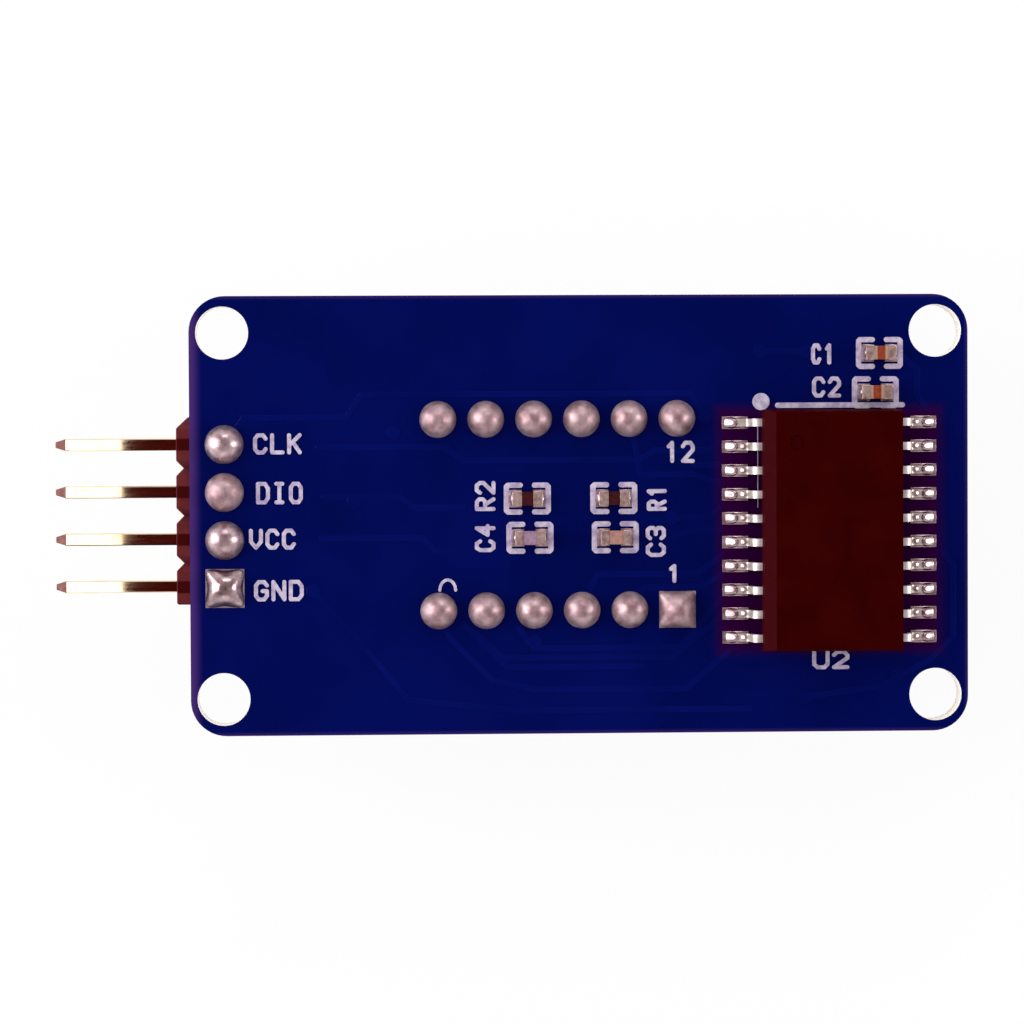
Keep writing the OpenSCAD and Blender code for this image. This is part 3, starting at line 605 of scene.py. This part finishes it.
def add_plug(verts, faces, place, width, z0, z1):
    """Append the solder that fills a plated hole."""
    first = len(verts)
    for z in (z0, z1):
        for spoke in range(SPOKES):
            angle = 2 * math.pi * spoke / SPOKES
            verts.append((place[0] + width / 2 * math.cos(angle),
                          place[1] + width / 2 * math.sin(angle), z))
    for spoke in range(SPOKES):
        after = (spoke + 1) % SPOKES
        faces.append([first + spoke, first + after, first + SPOKES + after,
                      first + SPOKES + spoke])
    faces.append([first + spoke for spoke in reversed(range(SPOKES))])
    faces.append([first + SPOKES + spoke for spoke in range(SPOKES)])


print("one mound has", SPOKES * (RINGS + 1), "points")

# %% [markdown]
# ## The skin of the solder
# Tin solder cools to a satin silver: it crystallises in small grains, so its shine is soft, and
# thin oxide and flux dull it in clouds. It gives the eye a warm pinkish silver here. A pure
# metal with one roughness looks like chrome, so the oxide is mixed in as a part that scatters
# light, and the gloss drifts. The display was soldered on a wave, which leaves a satin skin. Two
# of the header's joints are brighter, as hand soldering leaves them, and so are the fillets of
# the chip parts. The driver's joints and the ground joint keep a film of old flux: dark where
# they lie flat, white where they meet a lamp.

# %% Solder
SOLDER_GRAIN = 0.16


def tin_solder(name, dull, bright, smooth, rough, metal=0.8, grain_depth=0.0035):
    """Solder whose colour and gloss drift between a dull and a bright state."""
    finish, skin = start_finish(name, bright, smooth, metallic=metal)
    drift_in_colour(finish, skin, 0.55, dull, bright)
    drift_in_gloss(finish, skin, 0.35, smooth, rough)
    fine_grain(finish, skin, SOLDER_GRAIN, grain_depth)
    return finish


satin_solder = tin_solder("satin_wave_solder", "97777c", "bea4a8", 0.38, 0.54)
bright_solder = tin_solder("bright_hand_solder", "9a7d83", "c6aeb2", 0.22, 0.36)
stained_solder = tin_solder("flux_stained_solder", "8a7074", "baa4a6", 0.18, 0.28, metal=0.95,
                            grain_depth=0.002)
print("solder: satin, bright and stained, grains of", SOLDER_GRAIN, "mm")

# %% [markdown]
# ## Sixteen joints of the header and the display
# Each row of CAD joints is replaced by a row of mounds with the same pads and the same height.
# Pin 1 of the display and the ground pin of the header have square pads, so that a fitter can
# tell which way round they go. The solder on the ground pad is stained by flux and has drawn back
# from the pad's sides.

# %% Joints through the board
land_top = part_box("plated_holes_display")[1].z / MM
under_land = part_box("plated_holes_display")[0].z / MM
HEADER_BARREL = 0.9
DISPLAY_BARREL = 0.75
GROUND_PULL = 0.06


def joint_row(piece_name, node_name, places, pad, barrel, finish, square=(), pulled=0.0):
    """One row of joints that stands for a CAD row of the same joints."""
    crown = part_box(node_name)[1].z / MM
    verts, faces = [], []
    for number, place in enumerate(places):
        corner = SQUARE_PAD if number in square else ROUND_PAD
        add_mound(verts, faces, place, pad / 2, pad / 2, corner, land_top, crown,
                  pulled if number in square else 0.0)
        add_plug(verts, faces, place, barrel, under_land, land_top)
    piece = new_piece(piece_name, verts, faces, finish, smooth=True)
    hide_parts(node_name)


header_pad = (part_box("header_solder_clk")[1].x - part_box("header_solder_clk")[0].x) / MM
row_low, row_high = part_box("display_solder_lower_row")
display_pad = (row_high.y - row_low.y) / MM
for name, finish in (("clk", bright_solder), ("dio", satin_solder), ("vcc", bright_solder)):
    joint_row("joint_" + name, "header_solder_" + name, [middle("header_solder_" + name)],
              header_pad, HEADER_BARREL, finish)
joint_row("joint_gnd", "header_solder_gnd", [middle("header_solder_gnd")], header_pad,
          HEADER_BARREL, stained_solder, square=[0], pulled=GROUND_PULL)
lower = [middle(f"display_pin_{number}") for number in range(1, 7)]
upper = [middle(f"display_pin_{number}") for number in range(7, 13)]
joint_row("joints_lower_row", "display_solder_lower_row", lower, display_pad, DISPLAY_BARREL,
          satin_solder, square=[0])
joint_row("joints_upper_row", "display_solder_upper_row", upper, display_pad, DISPLAY_BARREL,
          satin_solder)
print(f"joints: 16, pads {header_pad:.2f} and {display_pad:.2f} mm wide")

# %% [markdown]
# ## Solder at the driver's leads and the chip parts
# Under a lead the solder lies as a low bed. At the toe it rises as a broad slope that looks
# outwards, and a drop of it sits on the foot: both catch a lamp as white spots. At a chip part
# it climbs each end cap. The CAD fillets are plain wedges, so each is replaced by such mounds on
# the same land.

# %% Surface joints
LEADS_A_SIDE = 10
LEAD_THICKNESS = 0.25
LAND_WIDTH = 0.65
LAND_CORNER = 5
BED_HEIGHT = 0.08
TOE_OUT = 0.12
TOE_HALF = (0.42, 0.31)
TOE_CORNER = 2.4
TOE_HEIGHT = 0.24
DROP_BACK = 0.48
DROP_RADIUS = 0.17
DROP_HEIGHT = 0.1
DROP_SUNK = 0.02
DROP_SHIFT = 0.01
CHIP_LAND = 0.66
CHIP_OVERLAP = 0.06  # mm, how far the solder reaches under the end cap
CHIP_MARGIN = 0.04
CHIP_CORNER = 3
CLIMB = 0.75  # share of an end cap's height


def lead_joints(side):
    """Beds, toe slopes and drops of the leads on one side: -1 is left, 1 is right."""
    name = "left" if side < 0 else "right"
    low, high = box_in_mm("driver_solder_" + name)
    lead_low, lead_high = box_in_mm("driver_leads_" + name)
    land_end, toe = (low.x, lead_low.x) if side < 0 else (high.x, lead_high.x)
    inner = high.x if side < 0 else low.x
    foot_top = lead_low.z + LEAD_THICKNESS - DROP_SUNK
    pitch = (high.y - low.y - LAND_WIDTH) / (LEADS_A_SIDE - 1)
    verts, faces = [], []
    for number in range(LEADS_A_SIDE):
        y = low.y + LAND_WIDTH / 2 + number * pitch
        add_mound(verts, faces, ((land_end + inner) / 2, y), abs(land_end - inner) / 2,
                  LAND_WIDTH / 2, LAND_CORNER, low.z, low.z + BED_HEIGHT, lean=0.04)
        add_mound(verts, faces, (toe + side * TOE_OUT, y), *TOE_HALF, TOE_CORNER, low.z,
                  low.z + TOE_HEIGHT, lean=0.06, flank=side)
        is_pin_1 = side < 0 and number == LEADS_A_SIDE - 1  # its foot stayed clean
        if not is_pin_1:
            add_mound(verts, faces, (toe - side * DROP_BACK, y + DROP_SHIFT), DROP_RADIUS,
                      DROP_RADIUS, ROUND_PAD, foot_top, foot_top + DROP_HEIGHT, lean=0.03,
                      flank=side)
    piece = new_piece("lead_joints_" + name, verts, faces, stained_solder, smooth=True)
    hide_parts("driver_solder_" + name)


def chip_joints(name):
    """The two fillets of a chip part: a low bed on the land and a mound against the end."""
    low, high = box_in_mm(f"chip_{name}_solder")
    cap_low, cap_high = box_in_mm(f"chip_{name}_end_caps")
    y, half_y = (low.y + high.y) / 2, (high.y - low.y) / 2
    climb = low.z + (cap_high.z - low.z) * CLIMB
    verts, faces = [], []
    for outer, cap_end, side in ((low.x, cap_low.x, -1), (high.x, cap_high.x, 1)):
        inner = outer - side * CHIP_LAND
        add_mound(verts, faces, ((outer + inner) / 2, y), CHIP_LAND / 2, half_y, LAND_CORNER,
                  low.z, low.z + BED_HEIGHT, lean=0.05)
        add_mound(verts, faces, (cap_end - side * CHIP_OVERLAP, y),
                  abs(outer - cap_end) + CHIP_OVERLAP, half_y - CHIP_MARGIN, CHIP_CORNER, low.z,
                  climb, lean=0.08)
    piece = new_piece(f"joints_of_chip_{name}", verts, faces, bright_solder, smooth=True)
    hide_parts(f"chip_{name}_solder")


lead_joints(-1)
lead_joints(1)
for name in CHIP_PARTS:
    chip_joints(name)
print("surface joints:", 2 * LEADS_A_SIDE, "at leads,", 2 * len(CHIP_PARTS), "at chip parts")

# %% [markdown]
# ## The driver chip
# Its body is epoxy with a mineral filler, pressed in a steel mould that was roughened by spark
# erosion. The filler gives the eye a dull, very dark maroon, and the eroded mould a fine even
# grain. A real one is about 0.03 mm, too fine for this picture, so it is drawn three times as
# coarse. The bevel and the left side face the large left soft box, and its light on them is
# painted in: they are coloured a touch redder. Marking is left off this chip: only the pin 1
# dimple stays.

# %% Moulded epoxy
MOULD_GRAIN = 0.09
BEVEL_LOOKS = (-0.3, -0.6)  # only the bevel and the left side look so far to the left
epoxy, skin = start_finish("moulded_epoxy", "320001", 0.5, Specular_IOR_Level=0.01)
dull_epoxy = drift_in_colour(epoxy, skin, 2.2, "2d0000", "340101")
left_lit_share = add(epoxy, "MapRange", Value=looks_along(epoxy, "X"), From_Min=BEVEL_LOOKS[0],
               From_Max=BEVEL_LOOKS[1])
# painted light: faces that look to the left, towards the large soft box, are coloured redder
add(epoxy, "Mix", COLOURS, out=2, to=skin["Base Color"], i0=left_lit_share, i6=dull_epoxy,
    i7=linear("35040a"))
drift_in_gloss(epoxy, skin, 0.6, 0.42, 0.58)
fine_grain(epoxy, skin, MOULD_GRAIN, 0.006)
dress(epoxy, "driver_body")
print("driver: grain", MOULD_GRAIN, "mm")

# %% [markdown]
# ## Tinned metal: leads, end caps, pins and lands
# The driver's leads were stamped from copper strip, formed and dipped in tin. Tin gives the eye
# a soft silver with a slightly clouded shine, and the forming leaves faint lines along a lead.
# The end caps of the chip parts are plated over fired silver paste, which is rougher. The
# display's pins are drawn wire, so their lines run upright.

# %% Tin
tin, skin = start_finish("dipped_tin", "dcd3ce", 0.5, metallic=0.85)
drift_in_colour(tin, skin, 0.5, "cabdba", "e6dfd8")
drift_in_gloss(tin, skin, 0.25, 0.44, 0.56, stretch=(0.3, 1, 1))
fine_grain(tin, skin, 0.1, 0.001, stretch=(0.25, 1, 1))
dress(tin, "driver_leads_left", "driver_leads_right")

caps, skin = start_finish("plated_end_caps", "c0a49e", 0.36, metallic=0.8)
drift_in_colour(caps, skin, 0.25, "a4867e", "d0b8b2")
drift_in_gloss(caps, skin, 0.2, 0.26, 0.46)
fine_grain(caps, skin, 0.14, 0.012)
dress(caps, *(f"chip_{name}_end_caps" for name in CHIP_PARTS))

pin_tin, skin = start_finish("tinned_pin", "cfc3c0", 0.3, metallic=0.95)
drift_in_gloss(pin_tin, skin, 0.3, 0.22, 0.4, stretch=(1, 1, 0.2))
fine_grain(pin_tin, skin, 0.1, 0.002, stretch=(1, 1, 0.1))
dress(pin_tin, *(f"display_pin_{number}" for number in range(1, 13)))

lands, skin = start_finish("levelled_tin_lands", "bfa9ab", 0.36, metallic=0.85)
drift_in_colour(lands, skin, 0.6, "a98f92", "ccb9ba")
drift_in_gloss(lands, skin, 0.5, 0.26, 0.44)
fine_grain(lands, skin, 0.3, 0.004)
dress(lands, "plated_holes_header", "plated_holes_display", "driver_lands", "chip_lands")
print("tin: leads, end caps, pins and lands")

# %% [markdown]
# ## Chip resistors and capacitors
# A chip resistor is a slip of alumina under a dark glaze; a ceramic capacitor is a block of
# barium titanate, fired in layers, from orange-brown to pink or grey by its mix. The fired
# ceramic is matt with a faint mottle, the glaze is smooth and a little glossy. On the two orange
# parts the silver of the caps has crept over the body and leaves only a narrow strip.

# %% Ceramics
BARE_STRIP = (0.22, THROUGH, THROUGH)  # half of the strip along X, and all of it along Y and Z
SILVER_BLUR = 0.03
SILVER_METAL = 0.7


def ceramic(name, first, second, roughness, *parts):
    """A fired ceramic with a faint mottle, on one or more chip parts."""
    body, skin = start_finish(name, first, roughness, Specular_IOR_Level=0.2)
    mottle = drift_in_colour(body, skin, 0.2, first, second)
    fine_grain(body, skin, 0.06, 0.004)
    dress(body, *parts)
    return body, skin, mottle


def plate_ends(body, skin, mottle, part):
    """Let silver from both end caps reach over the body, up to a narrow bare strip."""
    low, high = box_in_mm(part)
    silver = add(body, "MapRange", Value=beyond(body, (low + high) / 2, BARE_STRIP),
                 From_Min=-SILVER_BLUR, From_Max=SILVER_BLUR)
    add(body, "Mix", COLOURS, out=2, to=skin["Base Color"], i0=silver, i6=mottle,
        i7=linear("c9ab98"))
    add(body, "Math", {"operation": "MULTIPLY"}, to=skin["Metallic"], i0=silver,
        i1=SILVER_METAL)


ceramic("glazed_resistor", "2c0a0c", "401216", 0.3, "chip_r1", "chip_r2")
for part in ("chip_c1", "chip_c2"):
    body, skin, mottle = ceramic("orange_brown_titanate", "7c301e", "944224", 0.45, part)
    plate_ends(body, skin, mottle, part)
ceramic("pink_titanate", "987068", "ab8274", 0.5, "chip_c3")
ceramic("grey_titanate", "8a6c82", "9c8298", 0.5, "chip_c4")
print("ceramics: four mixes on six parts")

# %% [markdown]
# ## The header: nylon block and gilt pins
# The block is glass filled nylon, brown-red here, from a smooth mould: dull, a touch cloudy, and
# its top is coloured darker in four bands in line with the pins. The pins are drawn square brass
# wire with a thin gilt flash over nickel, nearly a mirror, with faint drawing lines along X.
# Their flat tops carry the sharpest reflections of the picture. The points and their end
# faces are coloured a dull brown, with little metal shine.

# %% Header
PIN_PITCH = 2.54
HALF_BAND = 0.32
BAND_BLUR = 0.04
nylon, skin = start_finish("filled_nylon", "62262a", 0.5, Specular_IOR_Level=0.05)
plastic = drift_in_colour(nylon, skin, 0.9, "5a1f24", "682a2e")
along_row = add(nylon, "SeparateXYZ", out="Y", i0=place_in_mm(nylon))
from_pin_line = add(nylon, "Math", {"operation": "PINGPONG"}, i0=along_row, i1=PIN_PITCH / 2)
in_pin_line = add(nylon, "MapRange", Value=from_pin_line,
               From_Min=PIN_PITCH / 2 - HALF_BAND - BAND_BLUR,
               From_Max=PIN_PITCH / 2 - HALF_BAND + BAND_BLUR)
share = add(nylon, "Math", {"operation": "MULTIPLY", "use_clamp": True}, i0=in_pin_line,
            i1=looks_along(nylon, "Z"))
# the top face is coloured darker in a band in line with each pin
add(nylon, "Mix", COLOURS, out=2, to=skin["Base Color"], i0=share, i6=plastic,
    i7=linear("3c0204"))
fine_grain(nylon, skin, 0.1, 0.006)
dress(nylon, "header_housing")

gilt, skin = start_finish("gilt_brass_wire", "ecd2ae", 0.03, metallic=1.0)
drift_in_colour(gilt, skin, 0.4, "e4c69c", "f0dabb", stretch=(0.3, 1, 1))
drift_in_gloss(gilt, skin, 0.12, 0.02, 0.035, stretch=(0.05, 1, 1))

# the points of the pins are coloured a dull brown
brown_tip, skin = start_finish("dull_brown_tip", "7c4a42", 0.5, metallic=0.25)
drift_in_colour(brown_tip, skin, 0.2, "6c3b34", "8d5c52")
print("header: nylon block and gilt")

# %% [markdown]
# ## Pins drawn section by section
# A mirror shows the smallest error of its surface. The CAD mesh shades its long flats with tilted
# normals, and they would break the reflection into triangles. So each pin is drawn again as the
# wire it is: a square section with narrow chamfers, carried from the pointed tip along X, around
# the bend and up through the board. Flat facets keep every reflection straight.

# %% Header pins
WIRE_CHAMFER = 0.05
TAPER_LENGTH = 0.55
TIP_SHARE = 0.47  # the width of the tip, as a share of the wire's
BEND_RADIUS = 0.52
BEND_STEPS = 14
CORNERS = 8  # a square section with four chamfers


def pin_stations(low, high, half):
    """Places along a pin: x, z, direction and half width, from the tip to the top."""
    leg_x, axis_z = high.x - half, low.z + half
    bend_x = leg_x - BEND_RADIUS
    stations = [(low.x, axis_z, 0.0, half * TIP_SHARE), (low.x + TAPER_LENGTH, axis_z, 0.0, half)]
    for step in range(BEND_STEPS + 1):
        angle = math.pi / 2 * step / BEND_STEPS
        stations.append((bend_x + BEND_RADIUS * math.sin(angle),
                         axis_z + BEND_RADIUS * (1 - math.cos(angle)), angle, half))
    return stations + [(leg_x, high.z, math.pi / 2, half)]


def draw_pin(name):
    """One square pin with chamfered corners, in place of the CAD pin."""
    low, high = box_in_mm(name)
    y, half = (low.y + high.y) / 2, (high.y - low.y) / 2
    stations = pin_stations(low, high, half)
    verts, faces = [], []
    for x, z, angle, wide in stations:
        flat = wide - WIRE_CHAMFER
        section = [(wide, -flat), (wide, flat), (flat, wide), (-flat, wide), (-wide, flat),
                   (-wide, -flat), (-flat, -wide), (flat, -wide)]
        verts += [(x - v * math.sin(angle), y + u, z + v * math.cos(angle)) for u, v in section]
    for station in range(len(stations) - 1):
        for corner in range(CORNERS):
            a = CORNERS * station + corner
            b = CORNERS * station + (corner + 1) % CORNERS
            faces.append([a, b, b + CORNERS, a + CORNERS])
    faces.append(list(reversed(range(CORNERS))))
    faces.append([len(verts) - CORNERS + corner for corner in range(CORNERS)])
    piece = new_piece(name.replace("header", "gilt"), verts, faces, gilt)
    piece.data.materials.append(brown_tip)
    tip_end = len(faces) - 2
    for tip_face in (*range(CORNERS), tip_end):
        piece.data.polygons[tip_face].material_index = 1
    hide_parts(name)


for name in ("clk", "dio", "vcc", "gnd"):
    draw_pin("header_pin_" + name)
print("header pins: four, with", BEND_STEPS, "steps in each bend")

# %% [markdown]
# ## The display
# The shell is white filled polycarbonate, bright so that its light wells lose no light. A matt
# black film covers the face and leaves a window over each segment. The wells and the back are
# filled with a milky epoxy that spreads the light of each die.

# %% Display finishes
shell, skin = start_finish("white_polycarbonate", "e9e8e6", 0.42)
drift_in_colour(shell, skin, 3.0, "e7e6e3", "ebeae8")
fine_grain(shell, skin, 0.15, 0.005)
dress(shell, "display_shell")

film, skin = start_finish("matt_black_film", "131315", 0.6, Specular_IOR_Level=0.3)
drift_in_gloss(film, skin, 0.3, 0.5, 0.7)
fine_grain(film, skin, 0.3, 0.0006)
dress(film, "display_face")

casting, skin = start_finish("milky_epoxy", "dedad6", 0.35, Subsurface_Weight=0.3,
                             Subsurface_Radius=(MM, MM, MM))
drift_in_colour(casting, skin, 0.8, "d4d0cb", "e4e1dd")
fine_grain(casting, skin, 0.5, 0.008)
dress(casting, "display_casting")

bare_board, skin = start_finish("bare_laminate", "b79f62", 0.5)
drift_in_colour(bare_board, skin, GLASS_WEAVE, "a68f55", "c4ad72")
dress(bare_board, "display_inner_board")

die, skin = start_finish("light_die", "7c1c1c", 0.25)
drift_in_colour(die, skin, 0.1, "6a1616", "8c2626")
dress(die, "display_dies")
print("display: shell, film, epoxy, inner board and dies")

# %% [markdown]
# ## Softened edges
# No moulded, stamped or routed edge is perfectly sharp, and its thin bright line tells the eye
# what the thing is made of. CAD leaves these edges sharp. A weld and a bevel modifier round them
# without touching the CAD mesh itself.

# %% Edges
WELD_REACH = 0.0005
SHARP_DEGREES = 25


def soften(width_mm, *names):
    """Round the sharp edges of CAD pieces by a width in mm."""
    for name in names:
        weld = nodes[name].modifiers.new("weld", "WELD")
        weld.merge_threshold = WELD_REACH * MM
        bevel = nodes[name].modifiers.new("soft_edges", "BEVEL")
        bevel.width = width_mm * MM
        bevel.segments = 2
        bevel.limit_method = "ANGLE"
        bevel.angle_limit = math.radians(SHARP_DEGREES)
        bevel.harden_normals = True


soften(0.05, "driver_body")
soften(0.06, "header_housing")
soften(0.05, *(f"chip_{name}" for name in ("c1", "c2", "c3", "c4")))
soften(0.04, *(f"chip_{name}_end_caps" for name in CHIP_PARTS))
soften(0.1, "display_shell")
print("edges: softened by 0.04 to 0.1 mm")

# %% [markdown]
# ## Table
# The module lies on a white table. For the camera and for mirrors the table is a plain white
# glow, so the background stays clean, and a small share of it is real paint, which keeps the
# object's shadow. From below the table is clear, and its glow lights the display's face, which
# lies on it, so that the digits can be looked at as well.

# %% Table
GLOW_SHARE = 0.9
NEAR_FACE = 1.5  # mm, rays this short come from the display's face and its lowest edges
TABLE_HALF = 1500
TABLE_TOP = -0.02  # mm, a hair under the display's face, or the two planes would flicker
table, skin = start_finish("white_table", "fafafa", 0.8)
paint = table.node_tree.nodes["Principled BSDF"].outputs[0]
camera_ray = add(table, "LightPath", out="Is Camera Ray")
path = camera_ray.node.outputs
seen = add(table, "Math", {"operation": "MAXIMUM"}, i0=camera_ray, i1=path["Is Glossy Ray"])
seen = add(table, "Math", {"operation": "MAXIMUM"}, i0=seen, i1=path["Is Transmission Ray"])
share = add(table, "Math", {"operation": "MULTIPLY"}, i0=seen, i1=GLOW_SHARE)
glow = add(table, "Emission", Color=linear("ffffff"), Strength=1.0)
near_face = add(table, "Math", {"operation": "LESS_THAN"}, i0=path["Ray Length"],
                i1=NEAR_FACE * MM)
share = add(table, "Math", {"operation": "MAXIMUM"}, i0=share, i1=near_face)
table_top = add(table, "MixShader", i0=share, i1=paint, i2=glow)
add(table, "MixShader", to=table.node_tree.nodes["Material Output"].inputs["Surface"],
    i0=add(table, "NewGeometry", out="Backfacing"), i1=table_top,
    i2=add(table, "BsdfTransparent"))

table_mesh = bpy.data.meshes.new("table")
corners = [(-1, -1), (1, -1), (1, 1), (-1, 1)]
table_mesh.from_pydata([(x * TABLE_HALF * MM, y * TABLE_HALF * MM, TABLE_TOP * MM)
                        for x, y in corners], [], [(0, 1, 2, 3)])
table_mesh.materials.append(table)
floor = bpy.data.objects.new("table", table_mesh)
bpy.context.scene.collection.objects.link(floor)
print("table:", 2 * TABLE_HALF, "mm wide")

# %% [markdown]
# ## Light
# Soft boxes stand low around the board. The left one is large, and the solder shows it as broad
# white patches; the right one is small and makes the small sparks. A narrow card hangs where
# the flat tops of the header pins look for their reflection, so they turn white up to a sharp
# line, as polished metal does.

# %% Soft boxes and card
CARD_X = -62.6
CARD_Y = -9


def soft_box(name, place_mm, width_mm, height_mm, watts, aim_mm=(0, 0, 8)):
    """A rectangular lamp that looks at the board."""
    lamp = bpy.data.lights.new(name, "AREA")
    lamp.shape = "RECTANGLE"
    lamp.size = width_mm * MM
    lamp.size_y = height_mm * MM
    lamp.energy = watts
    box = bpy.data.objects.new(name, lamp)
    box.location = Vector(place_mm) * MM
    box.rotation_euler = (Vector(aim_mm) - Vector(place_mm)).to_track_quat("-Z", "Y").to_euler()
    bpy.context.scene.collection.objects.link(box)


soft_box("left_box", (-310, 50, 135), 280, 290, 1.15)
soft_box("right_box", (280, 20, 120), 105, 115, 0.3)
soft_box("back_box", (20, 300, 170), 220, 90, 0.25)
soft_box("front_box", (0, -300, 160), 240, 120, 0.08)
soft_box("pin_card", (CARD_X, CARD_Y, 380), 19, 40, 0.0062, aim_mm=(CARD_X, CARD_Y, 0))
print("light: four soft boxes and a card")

# %% [markdown]
# ## Sky
# The sky is white at the horizon and grey above. Straight overhead it has a dark maroon patch,
# the place of a camera and its cloth: the flat board and the driver mirror exactly that patch,
# so their colours stay deep, and the inner half of each gilt pin turns dark. The camera itself
# sees a white sky.

# %% Sky
HORIZON = 0.3  # the sine of the height over the table where the white begins to turn grey
GREY_SKY = 0.7
PATCH_MIDDLE = (0.06, -0.025, 0)
PATCH_HALF = (0.16, 0.1)
PATCH_EDGE = (0.95, 1.25)  # the patch fades out between these shares of its half size

sky = bpy.data.worlds.new("studio_sky")
sky.use_nodes = True
bpy.context.scene.world = sky
direction = add(sky, "TexCoord", out="Generated")
height = add(sky, "SeparateXYZ", out="Z", i0=direction)
share = add(sky, "MapRange", SMOOTH, Value=height, From_Min=HORIZON, From_Max=GREY_SKY)
open_sky = add(sky, "Mix", COLOURS, out=2, i0=share, i6=linear("ffffff"), i7=linear("b6a9ac"))
offset = add(sky, "VectorMath", {"operation": "SUBTRACT"}, i0=direction, i1=PATCH_MIDDLE)
scaled = add(sky, "VectorMath", {"operation": "MULTIPLY"}, i0=offset,
             i1=(1 / PATCH_HALF[0], 1 / PATCH_HALF[1], 0))
away = add(sky, "VectorMath", {"operation": "ABSOLUTE"}, i0=scaled)
away_x = add(sky, "SeparateXYZ", out="X", i0=away)
farthest = add(sky, "Math", {"operation": "MAXIMUM"}, i0=away_x, i1=away_x.node.outputs["Y"])
outside = add(sky, "MapRange", SMOOTH, Value=farthest, From_Min=PATCH_EDGE[0],
              From_Max=PATCH_EDGE[1])
patched = add(sky, "Mix", COLOURS, out=2, i0=outside, i6=linear("400808"), i7=open_sky)
background = sky.node_tree.nodes["Background"].inputs
add(sky, "Mix", COLOURS, out=2, to=background["Color"],
    i0=add(sky, "LightPath", out="Is Camera Ray"), i6=patched, i7=linear("ffffff"))
background["Strength"].default_value = 1.0
bpy.context.scene.view_settings.view_transform = "Standard"
print("sky: white horizon, grey above, a dark patch overhead")
